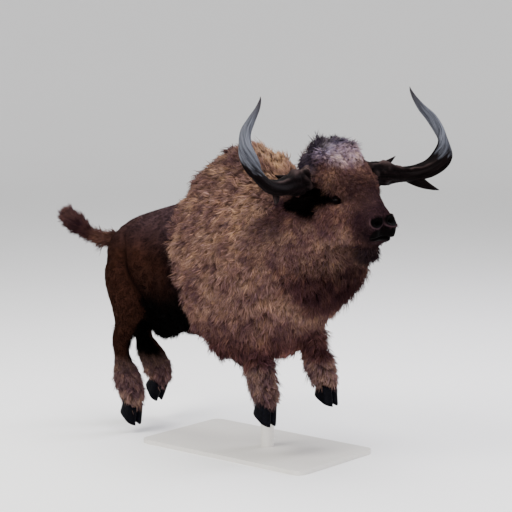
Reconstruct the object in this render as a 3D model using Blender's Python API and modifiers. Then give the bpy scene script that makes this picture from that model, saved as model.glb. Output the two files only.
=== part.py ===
"""A long-horned wisent bull in mid-leap, life size, held on a plain display stand.

Metres, +X the way the body faces, +Y its left side, +Z up. The origin is the centre of the
stand's underside. The flesh is built whole, out to the tips of the coat, from lofted trunk,
mane, head, limbs and tail, and is then parted with thin cuts into named pieces. Horns, ears,
eyes, hooves and the stand are pieces of their own.
"""

import math

import bmesh
import bpy
import numpy as np
from mathutils import Matrix, Vector

# ---------------------------------------------------------------- driving sizes
GAP = 0.0004                # clear space between neighbouring pieces
VOXEL = 0.012               # grain of the joined flesh before it is faceted
FLESH_TRIANGLES = 3200
SPECK_VOLUME = 1e-5         # cut-off scraps smaller than this are dropped
RING_POINTS = 24
LIMB_TOP = 0.68             # below this the flesh is all limb, and keeps its girth
TAIL_ROOT_X = -1.26         # behind this it is all tail
NOSE_FORWARD = 0.44         # ahead of this, in the head's frame, it is all nose

# The head is carried level and turned a little to the animal's right.
HEAD_ORIGIN = Vector((0.690, -0.050, 1.883))   # midway between the horn roots
HEAD_TURN = math.radians(-12)
HEAD_TIP = math.radians(1.2)                     # left horn higher than the right

FORE_TRACK = 0.22           # leg centre from the middle plane
HIND_TRACK = 0.20

# Side-view stations from tail to throat: top point (x, z), bottom point (x, z), half width,
# height share of the widest line, squareness above and below it (2 is an ellipse).
TRUNK = (
    ((-1.240, 1.300), (-1.205, 1.060), 0.120, 0.50, 2.0, 2.0),
    ((-1.208, 1.400), (-1.170, 0.960), 0.215, 0.50, 2.1, 2.2),
    ((-1.080, 1.490), (-1.050, 0.840), 0.280, 0.55, 2.2, 2.3),
    ((-0.920, 1.550), (-0.880, 0.750), 0.305, 0.58, 2.2, 2.3),
    ((-0.720, 1.610), (-0.680, 0.715), 0.330, 0.50, 2.2, 2.3),
    ((-0.450, 1.690), (-0.420, 0.705), 0.370, 0.46, 2.1, 2.3),
    ((-0.150, 1.800), (-0.150, 0.700), 0.390, 0.42, 2.0, 2.2),
    ((0.150, 1.800), (0.150, 0.700), 0.360, 0.42, 2.0, 2.2),
)
MANE = (
    ((-0.545, 1.600), (-0.280, 0.880), 0.300, 0.50, 2.1, 2.4),
    ((-0.545, 1.705), (-0.240, 0.750), 0.385, 0.47, 2.0, 2.6),
    ((-0.435, 1.860), (-0.130, 0.640), 0.435, 0.44, 1.7, 2.9),
    ((-0.240, 2.015), (0.020, 0.600), 0.475, 0.41, 1.6, 2.9),
    ((-0.030, 2.080), (0.190, 0.650), 0.490, 0.40, 1.6, 2.6),
    ((0.170, 1.985), (0.350, 0.780), 0.475, 0.40, 1.8, 2.3),
    ((0.310, 1.900), (0.540, 0.930), 0.440, 0.42, 1.9, 2.2),
    ((0.450, 1.850), (0.720, 1.110), 0.385, 0.45, 2.0, 2.0),
    ((0.600, 1.840), (0.860, 1.300), 0.290, 0.45, 2.0, 2.0),
)
# The same in the head's own frame: forward, up from the horn roots.
HEAD = (
    ((-0.230, 0.100), (-0.120, -0.340), 0.180, 0.55, 2.0, 2.0),
    ((-0.140, 0.215), (0.000, -0.400), 0.225, 0.55, 2.0, 2.0),
    ((0.010, 0.252), (0.100, -0.420), 0.235, 0.58, 2.1, 2.0),
    ((0.130, 0.190), (0.190, -0.420), 0.207, 0.60, 2.1, 2.1),
    ((0.205, 0.085), (0.260, -0.410), 0.168, 0.58, 2.2, 2.1),
    ((0.275, -0.010), (0.315, -0.410), 0.137, 0.52, 2.3, 2.1),
    ((0.350, -0.085), (0.375, -0.400), 0.114, 0.48, 2.4, 2.2),
    ((0.425, -0.145), (0.420, -0.400), 0.103, 0.48, 2.5, 2.3),
    ((0.476, -0.187), (0.456, -0.395), 0.096, 0.48, 2.5, 2.4),
    ((0.506, -0.235), (0.480, -0.370), 0.070, 0.50, 2.3, 2.3),
)
# Limb stations down each leg: x, z, fore-and-aft radius, side radius.
FORELEGS = {
    "right": (
        (0.150, 1.120, 0.170, 0.120),
        (0.180, 0.900, 0.140, 0.112),
        (0.205, 0.720, 0.115, 0.102),
        (0.215, 0.600, 0.102, 0.095),
        (0.240, 0.520, 0.096, 0.088),
        (0.262, 0.450, 0.098, 0.090),
        (0.280, 0.400, 0.080, 0.080),
        (0.302, 0.360, 0.056, 0.064),
    ),
    "left": (
        (0.200, 1.120, 0.170, 0.120),
        (0.250, 0.920, 0.140, 0.112),
        (0.310, 0.750, 0.108, 0.100),
        (0.352, 0.630, 0.104, 0.096),
        (0.390, 0.550, 0.100, 0.092),
        (0.412, 0.495, 0.090, 0.086),
        (0.432, 0.460, 0.078, 0.078),
        (0.454, 0.428, 0.056, 0.064),
    ),
}
HINDLEGS = {
    "right": (
        (-0.990, 1.200, 0.222, 0.120),
        (-0.980, 1.020, 0.208, 0.125),
        (-0.985, 0.860, 0.145, 0.105),
        (-1.020, 0.740, 0.095, 0.078),
        (-1.065, 0.645, 0.080, 0.066),
        (-1.058, 0.550, 0.064, 0.058),
        (-1.050, 0.480, 0.075, 0.068),
        (-1.020, 0.410, 0.100, 0.088),
        (-0.990, 0.340, 0.098, 0.090),
        (-0.968, 0.275, 0.092, 0.086),
        (-0.950, 0.225, 0.076, 0.076),
        (-0.928, 0.185, 0.054, 0.062),
    ),
    "left": (
        (-1.010, 1.200, 0.222, 0.120),
        (-1.050, 1.020, 0.212, 0.125),
        (-1.120, 0.860, 0.145, 0.105),
        (-1.200, 0.740, 0.095, 0.078),
        (-1.240, 0.665, 0.080, 0.068),
        (-1.232, 0.580, 0.076, 0.064),
        (-1.185, 0.500, 0.096, 0.084),
        (-1.118, 0.425, 0.105, 0.092),
        (-1.080, 0.355, 0.098, 0.090),
        (-1.058, 0.305, 0.074, 0.074),
        (-1.034, 0.268, 0.054, 0.062),
    ),
}
TAIL = (
    (-1.200, 1.350, 0.062, 0.058),
    (-1.300, 1.325, 0.048, 0.044),
    (-1.380, 1.312, 0.040, 0.038),
    (-1.463, 1.306, 0.040, 0.038),
    (-1.554, 1.322, 0.044, 0.042),
    (-1.625, 1.354, 0.060, 0.056),
    (-1.715, 1.405, 0.076, 0.070),
    (-1.795, 1.452, 0.068, 0.060),
    (-1.840, 1.478, 0.030, 0.028),
)

# Horn in the head's frame: forward, outward, up, radius.
HORN = (
    (-0.020, 0.100, 0.000, 0.066),
    (0.010, 0.250, -0.002, 0.065),
    (0.065, 0.400, -0.008, 0.060),
    (0.115, 0.530, -0.012, 0.058),
    (0.156, 0.650, 0.008, 0.058),
    (0.184, 0.725, 0.050, 0.057),
    (0.188, 0.775, 0.105, 0.053),
    (0.165, 0.802, 0.173, 0.049),
    (0.127, 0.804, 0.247, 0.044),
    (0.085, 0.771, 0.333, 0.036),
    (0.060, 0.706, 0.406, 0.026),
    (0.052, 0.652, 0.471, 0.016),
    (0.046, 0.625, 0.518, 0.008),
    (0.042, 0.617, 0.546, 0.002),
)
# Two splinters on each horn: root, tip, root radius.
SPURS = (
    ((0.000, 0.300, 0.036), (0.000, 0.490, 0.090), 0.034),
    ((0.130, 0.580, -0.032), (0.222, 0.655, -0.098), 0.032),
)
# Ear in the head's frame: forward, outward, up, half width, cup depth.
EAR = (
    (0.075, 0.130, -0.105, 0.020, 0.012),
    (0.055, 0.180, -0.118, 0.026, 0.018),
    (0.030, 0.240, -0.135, 0.042, 0.026),
    (0.010, 0.300, -0.145, 0.044, 0.026),
    (-0.005, 0.350, -0.145, 0.030, 0.018),
    (-0.012, 0.385, -0.140, 0.006, 0.005),
)
EAR_WALL = 0.45             # how far the cup fills the ear's depth
EYE_CENTRE = (0.205, 0.163, -0.110)
EYE_RADIUS = 0.022

# One claw of a cloven hoof, before the foot's own tilt.
CLAW_LENGTH = 0.135
CLAW_WIDTH = 0.064
CLAW_HEIGHT = 0.100
CLAW_TOE_SLOPE = 0.055      # how far the toe runs out from coronet to sole
CLAW_SPREAD = 0.0345        # claw centre from the foot's own middle
# Coronet centre (x, z) and toe-down tilt of each foot.
FEET = {
    ("fore", "right"): (0.282, 0.392, 36),
    ("fore", "left"): (0.436, 0.472, 28),
    ("hind", "right"): (-0.948, 0.215, 40),
    ("hind", "left"): (-1.062, 0.300, 58),
}

BASE_LENGTH = 1.40
BASE_WIDTH = 0.80
BASE_THICK = 0.030
BASE_CORNER = 0.060
ROD_X = 0.10
ROD_RADIUS = 0.045
ROD_TOP = 0.80


# ---------------------------------------------------------------- helpers
def clear_scene():
    for obj in list(bpy.data.objects):
        bpy.data.objects.remove(obj, do_unlink=True)


def collection(name):
    made = bpy.data.collections.new(name)
    bpy.context.scene.collection.children.link(made)
    return made


def material(name, hex_colour, roughness, metallic=0.0):
    made = bpy.data.materials.new(name)
    made.use_nodes = True
    bsdf = made.node_tree.nodes["Principled BSDF"]
    srgb = [int(hex_colour[i:i + 2], 16) / 255 for i in (0, 2, 4)]
    linear = [c / 12.92 if c <= 0.04045 else ((c + 0.055) / 1.055) ** 2.4 for c in srgb]
    bsdf.inputs["Base Color"].default_value = (*linear, 1)
    bsdf.inputs["Roughness"].default_value = roughness
    bsdf.inputs["Metallic"].default_value = metallic
    return made


def add_object(name, bm, home):
    mesh = bpy.data.meshes.new(name)
    bm.to_mesh(mesh)
    bm.free()
    obj = bpy.data.objects.new(name, mesh)
    home.objects.link(obj)
    return obj


def curve_through(rows, steps):
    """Rows of numbers along a path, filled in with a Catmull-Rom curve, steps to each span."""
    rows = np.array(rows, float)
    padded = np.vstack([2 * rows[0] - rows[1], rows, 2 * rows[-1] - rows[-2]])
    filled = []
    for i in range(1, len(padded) - 2):
        a, b, c, d = padded[i - 1:i + 3]
        for t in np.linspace(0, 1, steps, endpoint=False):
            filled.append(0.5 * (2 * b + (c - a) * t + (2 * a - 5 * b + 4 * c - d) * t * t
                                 + (3 * b - a - 3 * c + d) * t ** 3))
    filled.append(rows[-1])
    return np.array(filled)


def loft(bm, rings):
    """Adds a closed skin of triangles over rings of equal count, with flat ends, facing out."""
    loops = [[bm.verts.new(point) for point in ring] for ring in rings]
    faces = [bm.faces.new(loops[0]), bm.faces.new(loops[-1])]
    for lower, upper in zip(loops, loops[1:]):
        for i in range(len(lower)):
            j = (i + 1) % len(lower)
            faces.append(bm.faces.new((lower[i], lower[j], upper[j], upper[i])))
    faces = bmesh.ops.triangulate(bm, faces=faces)["faces"]
    bmesh.ops.recalc_face_normals(bm, faces=faces)


def rounded(angles, squareness):
    """Cosine and sine of a superellipse."""
    c, s = np.cos(angles), np.sin(angles)
    power = 2 / squareness
    return np.sign(c) * np.abs(c) ** power, np.sign(s) * np.abs(s) ** power


def side_view_loft(bm, stations, place=Matrix.Identity(4)):
    """A loft whose sections stand across the body, each from a bottom to a top point."""
    rows = [(*top, *bottom, *shape) for top, bottom, *shape in stations]
    angles = np.linspace(0, 2 * math.pi, RING_POINTS, endpoint=False)
    rings = []
    for row in curve_through(rows, 4):
        top, bottom = row[0:2], row[2:4]
        widest = bottom + (top - bottom) * row[5]
        upper, lower = rounded(angles, row[6]), rounded(angles, row[7])
        across = np.where(upper[1] > 0, upper[0], lower[0])
        up = np.where(upper[1] > 0, upper[1], lower[1])
        reach = np.where(up[:, None] > 0, top - widest, widest - bottom)
        xz = widest + reach * up[:, None]
        rings.append([place @ Vector((x, row[4] * a, z)) for (x, z), a in zip(xz, across)])
    loft(bm, rings)


def tube_loft(bm, points, radii_a, radii_b, side=Vector((0, 1, 0)), count=RING_POINTS):
    """A loft square to a path. radii_b lie along side, radii_a across it."""
    angles = np.linspace(0, 2 * math.pi, count, endpoint=False)
    rings = []
    for i, point in enumerate(points):
        along = (points[min(i + 1, len(points) - 1)] - points[max(i - 1, 0)]).normalized()
        b = (side - along * side.dot(along)).normalized()
        a = b.cross(along)
        rings.append([point + a * (radii_a[i] * math.cos(t)) + b * (radii_b[i] * math.sin(t))
                      for t in angles])
    loft(bm, rings)


def limb_loft(bm, stations, y):
    rows = curve_through(stations, 3)
    tube_loft(bm, [Vector((x, y, z)) for x, z, _, _ in rows], rows[:, 2], rows[:, 3])


def ellipsoid(bm, centre, radii, place=Matrix.Identity(4), rings=10):
    matrix = place @ Matrix.Translation(centre) @ Matrix.Diagonal((*radii, 1))
    bmesh.ops.create_uvsphere(bm, u_segments=2 * rings, v_segments=rings, radius=1, matrix=matrix)


def evaluated_copy(obj, name, home):
    """The object's mesh with its modifiers applied, as a new plain object."""
    graph = bpy.context.evaluated_depsgraph_get()
    mesh = bpy.data.meshes.new_from_object(obj.evaluated_get(graph))
    made = bpy.data.objects.new(name, mesh)
    made.matrix_world = obj.matrix_world
    home.objects.link(made)
    return made


def boolean(obj, other, operation):
    modifier = obj.modifiers.new(operation.title(), "BOOLEAN")
    modifier.operation = operation
    modifier.solver = "EXACT"
    modifier.object = other
    return modifier


def as_cutter(obj):
    obj.hide_render = True
    obj.display_type = "WIRE"
    return obj


def inflated(obj, by, home):
    """A cutter whose faces all stand the given distance outside an object's faces."""
    made = as_cutter(evaluated_copy(obj, obj.name + "_clearance", home))
    bm = bmesh.new()
    bm.from_mesh(made.data)
    bm.normal_update()
    moves = [vertex.normal * (by * min(vertex.calc_shell_factor(), 3.0)) for vertex in bm.verts]
    for vertex, move in zip(bm.verts, moves):
        vertex.co += move
    bm.to_mesh(made.data)
    bm.free()
    return made


HEAD_PLACE = (Matrix.Translation(HEAD_ORIGIN) @ Matrix.Rotation(HEAD_TURN, 4, "Z")
              @ Matrix.Rotation(HEAD_TIP, 4, "X"))
SIDES = {"left": 1, "right": -1}


# ---------------------------------------------------------------- flesh
def whole_flesh(cutters):
    """Trunk, mane, head, limbs and tail as overlapping forms, melted into one skin."""
    bm = bmesh.new()
    side_view_loft(bm, TRUNK)
    side_view_loft(bm, MANE)
    side_view_loft(bm, HEAD, HEAD_PLACE)
    for side, sign in SIDES.items():
        limb_loft(bm, FORELEGS[side], sign * FORE_TRACK)
        limb_loft(bm, HINDLEGS[side], sign * HIND_TRACK)
        # buttock, brow, cheek and nostril wing
        ellipsoid(bm, (-0.98, sign * 0.15, 1.10), (0.145, 0.125, 0.220))
        ellipsoid(bm, (0.185, sign * 0.100, -0.045), (0.110, 0.080, 0.060), HEAD_PLACE)
        ellipsoid(bm, (0.100, sign * 0.125, -0.250), (0.180, 0.125, 0.170), HEAD_PLACE)
        ellipsoid(bm, (0.450, sign * 0.060, -0.245), (0.055, 0.048, 0.050), HEAD_PLACE)
    # beard and groin
    ellipsoid(bm, (0.300, 0.0, -0.420), (0.120, 0.085, 0.110), HEAD_PLACE)
    ellipsoid(bm, (-0.810, 0.0, 0.770), (0.150, 0.130, 0.120))
    limb_loft(bm, TAIL, 0.0)
    rough = as_cutter(add_object("flesh_forms", bm, cutters))

    melt = rough.modifiers.new("Melt", "REMESH")
    melt.mode = "VOXEL"
    melt.voxel_size = VOXEL
    smooth = rough.modifiers.new("Smooth", "SMOOTH")
    smooth.factor = 0.5
    smooth.iterations = 6
    fine = as_cutter(evaluated_copy(rough, "flesh_fine", cutters))

    # Muscles and wool masses melt into one another; limbs, tail and nose keep their girth.
    blend = fine.vertex_groups.new(name="blend")
    detail = fine.vertex_groups.new(name="detail")
    place = HEAD_PLACE.inverted()
    for vertex in fine.data.vertices:
        in_head = place @ vertex.co
        limb = vertex.co.z < LIMB_TOP or vertex.co.x < TAIL_ROOT_X
        blend.add([vertex.index], 0.0 if limb or in_head.x > NOSE_FORWARD else 1.0, "REPLACE")
        weight = 0.45 if limb or in_head.x > -0.15 else 0.65
        if in_head.x > 0.15:
            weight = 0.28
        detail.add([vertex.index], weight, "REPLACE")
    soften = fine.modifiers.new("Soften", "SMOOTH")
    soften.factor = 0.5
    soften.iterations = 40
    soften.vertex_group = "blend"
    facet = fine.modifiers.new("Facet", "DECIMATE")
    facet.ratio = FLESH_TRIANGLES / (2 * len(fine.data.polygons))
    facet.vertex_group = "detail"
    facet.use_collapse_triangulate = True
    return as_cutter(evaluated_copy(fine, "flesh", cutters))


# ---------------------------------------------------------------- parting
# Thin cuts through the flesh: centre, direction square to the cut, size of the cut's square.
BODY_CUTS = (
    ((-0.415, 0.0, 1.240), (0.943, 0.0, 0.333), 1.70),                # hind edge of the mane
    ((0.500, 0.0, 1.480), (0.908, 0.0, 0.419), 1.70),                 # mane to neck
    ((-0.780, 0.0, 1.180), (1.0, 0.0, 0.0), 1.20),                    # barrel to hindquarters
    ((-1.268, 0.0, 1.340), (1.0, 0.0, -0.25), 0.24),                  # tail from rump
    ((-1.560, 0.0, 1.325), (0.93, 0.0, -0.37), 0.24),                 # tail tuft
    ((0.210, -FORE_TRACK, 0.600), (0.0, 0.0, 1.0), 0.34),             # forelegs from the mane
    ((0.350, FORE_TRACK, 0.620), (-0.25, 0.0, 1.0), 0.34),
    ((-1.030, -HIND_TRACK, 0.735), (-0.15, 0.0, 1.0), 0.38),          # shanks from the thighs
    ((-1.170, HIND_TRACK, 0.745), (-0.15, 0.0, 1.0), 0.40),
    ((-1.055, -HIND_TRACK, 0.540), (-0.1, 0.0, 1.0), 0.34),           # cannons from the hocks
    ((-1.200, HIND_TRACK, 0.590), (0.2, 0.0, 1.0), 0.34),
)
HEAD_CUTS = (
    ((-0.060, 0.0, -0.140), (0.949, 0.0, 0.316), 1.40),               # neck to head
    ((0.335, 0.0, -0.230), (1.0, 0.0, -0.10), 0.60),                  # head to muzzle
)
# A point inside each piece of flesh, to name it by.
FLESH_NAMES = {
    "hindquarters": (-1.00, 0.0, 1.20),
    "barrel": (-0.58, 0.0, 1.20),
    "forequarters": (0.00, 0.0, 1.30),
    "neck": (0.62, 0.0, 1.50),
    "head": (0.82, -0.08, 1.75),
    "muzzle": (1.13, -0.14, 1.60),
    "tail_stem": (-1.42, 0.0, 1.31),
    "tail_tuft": (-1.70, 0.0, 1.40),
    "forecannon_right": (0.25, -FORE_TRACK, 0.48),
    "forecannon_left": (0.40, FORE_TRACK, 0.53),
    "shank_right": (-1.04, -HIND_TRACK, 0.67),
    "shank_left": (-1.20, HIND_TRACK, 0.70),
    "hindcannon_right": (-1.00, -HIND_TRACK, 0.38),
    "hindcannon_left": (-1.13, HIND_TRACK, 0.43),
}


def cut_slabs(cutters):
    cuts = [(Matrix.Identity(4), *cut) for cut in BODY_CUTS] + [(HEAD_PLACE, *cut) for cut in HEAD_CUTS]
    for i, (place, centre, normal, size) in enumerate(cuts):
        turn = Vector(normal).to_track_quat("X", "Z").to_matrix().to_4x4()
        matrix = place @ Matrix.Translation(centre) @ turn @ Matrix.Diagonal((GAP, size, size, 1))
        bm = bmesh.new()
        bmesh.ops.create_cube(bm, size=1, matrix=matrix)
        yield as_cutter(add_object("cut_%02d" % i, bm, cutters))


def loose_parts(obj):
    """The separate closed bodies of an object, as lists of its faces in a mesh each."""
    bm = bmesh.new()
    bm.from_mesh(obj.data)
    bm.verts.ensure_lookup_table()
    seen, groups = set(), []
    for start in bm.verts:
        if start.index in seen:
            continue
        stack, group = [start], []
        seen.add(start.index)
        while stack:
            vertex = stack.pop()
            group.append(vertex.index)
            for edge in vertex.link_edges:
                other = edge.other_vert(vertex)
                if other.index not in seen:
                    seen.add(other.index)
                    stack.append(other)
        groups.append(group)
    bodies = []
    for group in groups:
        keep = set(group)
        body = bm.copy()
        bmesh.ops.delete(body, geom=[v for v in body.verts if v.index not in keep], context="VERTS")
        bodies.append(body)
    bm.free()
    return bodies


def name_flesh(cut, home, hide):
    """Each loose body of any size takes the name whose point lies nearest its middle."""
    for body in loose_parts(cut):
        volume = abs(body.calc_volume())
        if volume < SPECK_VOLUME:
            body.free()
            continue
        middle = sum((v.co for v in body.verts), Vector()) / len(body.verts)
        name = min(FLESH_NAMES, key=lambda n: (Vector(FLESH_NAMES[n]) - middle).length)
        bmesh.ops.recalc_face_normals(body, faces=body.faces)
        obj = add_object(name, body, home)
        obj.data.materials.append(hide)


# ---------------------------------------------------------------- pieces of their own
def build_horn(side, home, keratin):
    sign = SIDES[side]
    rows = curve_through(HORN, 2)
    points = [HEAD_PLACE @ Vector((f, sign * l, t)) for f, l, t, _ in rows]
    bm = bmesh.new()
    tube_loft(bm, points, rows[:, 3], rows[:, 3], side=Vector((0, 0, 1)), count=10)
    plain = add_object("horn_" + side, bm, home)
    plain.data.materials.append(keratin)
    bm = bmesh.new()
    for root, tip, radius in SPURS:
        ends = [HEAD_PLACE @ Vector((f, sign * l, t)) for f, l, t in (root, tip)]
        along = [ends[0].lerp(ends[1], share) for share in (0.0, 0.4, 0.75, 1.0)]
        widths = [radius * share for share in (1.0, 0.72, 0.36, 0.06)]
        tube_loft(bm, along, widths, widths, side=Vector((0, 0, 1)), count=8)
    spurs = as_cutter(add_object("spurs_" + side, bm, bpy.data.collections["cutters"]))
    boolean(plain, spurs, "UNION")
    return plain


def build_ear(side, home, hide):
    """A drooping leaf, cupped forwards, its root sunk in the head."""
    sign = SIDES[side]
    rows = curve_through(EAR, 2)
    count = 7
    rings = []
    for i, (f, l, t, half, depth) in enumerate(rows):
        ahead, behind = rows[min(i + 1, len(rows) - 1)], rows[max(i - 1, 0)]
        along = Vector((ahead[0] - behind[0], ahead[1] - behind[1], ahead[2] - behind[2])).normalized()
        back = Vector((-0.85, 0.15, 0.35))
        back = (back - along * back.dot(along)).normalized()
        edge = along.cross(back)
        middle = Vector((f, l, t))
        outer = [middle + edge * (half * math.cos(a)) + back * (depth * math.sin(a))
                 for a in np.linspace(0, math.pi, count)]
        inner = [middle + edge * (half * math.cos(a)) + back * (EAR_WALL * depth * math.sin(a))
                 for a in np.linspace(math.pi, 0, count)[1:-1]]
        rings.append([HEAD_PLACE @ Vector((p.x, sign * p.y, p.z)) for p in outer + inner])
    bm = bmesh.new()
    loft(bm, rings)
    obj = add_object("ear_" + side, bm, home)
    obj.data.materials.append(hide)
    return obj


def build_eye(side, home, glass):
    f, l, t = EYE_CENTRE
    bm = bmesh.new()
    ellipsoid(bm, (f, SIDES[side] * l, t), (EYE_RADIUS,) * 3, HEAD_PLACE, rings=6)
    obj = add_object("eye_" + side, bm, home)
    obj.data.materials.append(glass)
    return obj


def build_claw(name, place, inner, home, keratin):
    """Half a cloven hoof: flat sole, sloping toe wall, flat inner wall towards its fellow."""
    levels = ((0.0, 1.0), (0.5, 0.90), (1.0, 0.76))
    rings = []
    for height, share in levels:
        z = -CLAW_HEIGHT * (1 - height)
        length, width = CLAW_LENGTH * share, CLAW_WIDTH * (0.75 + 0.25 * share)
        shift = CLAW_TOE_SLOPE * (1 - height)
        ring = []
        for a in np.linspace(0, 2 * math.pi, 14, endpoint=False):
            c, s = math.cos(a), math.sin(a)
            x = 0.5 * length * math.copysign(abs(c) ** 0.85, c)
            y = 0.5 * width * math.copysign(abs(s) ** 0.75, s)
            if c > 0:                                   # the toe narrows and leans inwards
                y = y * (1 - 0.45 * c ** 3) - inner * 0.18 * width * c ** 3
            y = max(-0.47 * width, min(0.47 * width, y))
            ring.append(place @ Vector((x + shift, y, z)))
        rings.append(ring)
    bm = bmesh.new()
    loft(bm, rings)
    obj = add_object(name, bm, home)
    obj.data.materials.append(keratin)
    return obj


def build_feet(home, keratin):
    claws = []
    for (end, side), (x, z, pitch) in FEET.items():
        track = (FORE_TRACK if end == "fore" else HIND_TRACK) * SIDES[side]
        foot = Matrix.Translation((x, track, z)) @ Matrix.Rotation(math.radians(pitch), 4, "Y")
        for which, across in (("outer", SIDES[side]), ("inner", -SIDES[side])):
            place = foot @ Matrix.Translation((0, across * CLAW_SPREAD, 0))
            name = "_".join(("hoof", end, side, which))
            claws.append(build_claw(name, place, across, home, keratin))
    return claws


def build_stand(home, paint):
    bm = bmesh.new()
    corners = []
    for sx, sy, start in ((1, 1, 0), (-1, 1, 90), (-1, -1, 180), (1, -1, 270)):
        for step in range(5):
            a = math.radians(start + 22.5 * step)
            corners.append((sx * (BASE_LENGTH / 2 - BASE_CORNER) + BASE_CORNER * math.cos(a),
                            sy * (BASE_WIDTH / 2 - BASE_CORNER) + BASE_CORNER * math.sin(a)))
    loft(bm, [[(x, y, z) for x, y in corners] for z in (0.0, BASE_THICK)])
    base = add_object("stand_base", bm, home)
    base.data.materials.append(paint)
    bm = bmesh.new()
    foot = BASE_THICK + GAP
    bmesh.ops.create_cone(bm, cap_ends=True, segments=32, radius1=ROD_RADIUS, radius2=ROD_RADIUS,
                          depth=ROD_TOP - foot,
                          matrix=Matrix.Translation((ROD_X, 0, (ROD_TOP + foot) / 2)))
    rod = add_object("stand_rod", bm, home)
    rod.data.materials.append(paint)
    return rod


def main():
    clear_scene()
    home = collection("wisent")
    cutters = collection("cutters")
    keratin = material("horn_keratin", "4A4348", 0.35)
    black_keratin = material("hoof_keratin", "0E0D12", 0.30)
    hide = material("woolly_hide", "5F453E", 0.90)
    ear_hide = material("ear_hide", "16100F", 0.85)
    glass = material("eye_glass", "0A0605", 0.08)
    paint = material("stand_paint", "C9C6C0", 0.50)

    flesh = whole_flesh(cutters)
    sunk = [build_horn(side, home, keratin) for side in SIDES]
    ears = [build_ear(side, home, ear_hide) for side in SIDES]
    sunk += [build_eye(side, home, glass) for side in SIDES]
    sunk += build_feet(home, black_keratin)
    sunk.append(build_stand(home, paint))
    bpy.context.view_layer.update()

    # Pockets in the flesh, a hair wider than what sits in them, then the thin cuts.
    for obj in sunk + ears:
        boolean(flesh, inflated(obj, GAP, cutters), "DIFFERENCE")
    for slab in cut_slabs(cutters):
        boolean(flesh, slab, "DIFFERENCE")
    parted = evaluated_copy(flesh, "flesh_parted", cutters)
    name_flesh(parted, home, hide)
    bpy.data.objects.remove(parted, do_unlink=True)


main()
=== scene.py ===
"""Dresses the wisent bull: one skin over the flesh, its woolly coat, horns, hooves and stand.

Metres, +X the way the body faces, +Y its left side, +Z up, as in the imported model.
"""
import math

import bmesh
import bpy
import numpy as np
import openvdb
from bpy.props import FloatProperty, FloatVectorProperty, IntProperty, PointerProperty
from mathutils import Matrix, Vector


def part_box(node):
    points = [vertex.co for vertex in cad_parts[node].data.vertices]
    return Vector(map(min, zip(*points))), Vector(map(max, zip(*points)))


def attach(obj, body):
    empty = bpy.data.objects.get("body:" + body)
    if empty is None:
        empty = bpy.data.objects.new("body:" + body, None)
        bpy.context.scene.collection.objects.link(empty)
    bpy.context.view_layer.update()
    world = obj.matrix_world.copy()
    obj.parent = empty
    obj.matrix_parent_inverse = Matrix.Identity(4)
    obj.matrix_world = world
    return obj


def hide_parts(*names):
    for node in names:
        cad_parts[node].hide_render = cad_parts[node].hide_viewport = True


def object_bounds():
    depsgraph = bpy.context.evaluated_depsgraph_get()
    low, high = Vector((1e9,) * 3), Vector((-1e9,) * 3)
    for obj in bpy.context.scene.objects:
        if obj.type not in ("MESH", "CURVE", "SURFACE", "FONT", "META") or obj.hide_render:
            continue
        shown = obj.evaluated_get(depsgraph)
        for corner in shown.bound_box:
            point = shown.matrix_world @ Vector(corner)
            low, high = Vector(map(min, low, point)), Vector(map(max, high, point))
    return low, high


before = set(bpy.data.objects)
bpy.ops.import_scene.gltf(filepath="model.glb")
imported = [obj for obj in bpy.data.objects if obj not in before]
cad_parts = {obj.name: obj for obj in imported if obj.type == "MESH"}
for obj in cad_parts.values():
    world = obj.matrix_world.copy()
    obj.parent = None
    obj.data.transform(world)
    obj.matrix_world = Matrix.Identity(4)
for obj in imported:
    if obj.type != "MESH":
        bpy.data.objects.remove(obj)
CAD_BOX = [[float(c) for c in corner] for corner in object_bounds()]

bl_info = {
    "name": "Wisent bull",
    "version": (1, 0, 0),
    "blender": (4, 5, 0),
    "location": "View3D > Sidebar > Wisent",
    "description": "Skin, coat, horns, hooves and stand of a life-size wisent bull",
    "category": "Add Mesh",
}

SIDES = {"left": 1, "right": -1}
FLESH = ("hindquarters", "barrel", "forequarters", "neck", "head", "muzzle", "tail_stem",
         "tail_tuft", "forecannon_left", "forecannon_right", "shank_left", "shank_right",
         "hindcannon_left", "hindcannon_right")

# ---------------------------------------------------------------- places on the animal
HEAD_ORIGIN = np.array((0.690, -0.050, 1.883))      # midway between the horn roots
HEAD_TURN, HEAD_TIP = math.radians(-12), math.radians(1.2)
HEAD_AXES = np.array(Matrix.Rotation(HEAD_TURN, 3, "Z") @ Matrix.Rotation(HEAD_TIP, 3, "X"))
EYE_CENTRE = (0.205, 0.163, -0.110)                 # head's frame: forward, outward, up
EYE_RADIUS, LID_THICKNESS = 0.022, 0.0035
NOSTRIL = (0.492, 0.074, -0.236)
MANE_EDGE = np.array((-0.415, 0.0, 1.240))          # a place on the plane where the mane ends
MANE_FORWARD = np.array((0.943, 0.0, 0.333))        # square to that plane
HUMP_FROM, CHEST_BELOW = 1.72, 1.15                 # heights where the mane's pieces part

# Horn in the head's frame: forward, outward, up, radius.
HORN = (
    (-0.020, 0.100, 0.000, 0.066), (0.010, 0.250, -0.002, 0.065),
    (0.065, 0.400, -0.008, 0.060), (0.115, 0.530, -0.012, 0.058),
    (0.156, 0.650, 0.008, 0.058), (0.184, 0.725, 0.050, 0.057),
    (0.188, 0.775, 0.105, 0.053), (0.165, 0.802, 0.173, 0.049),
    (0.127, 0.804, 0.247, 0.044), (0.085, 0.771, 0.333, 0.036),
    (0.060, 0.706, 0.406, 0.026), (0.052, 0.652, 0.471, 0.016),
    (0.046, 0.625, 0.518, 0.008), (0.042, 0.617, 0.546, 0.002),
)
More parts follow.
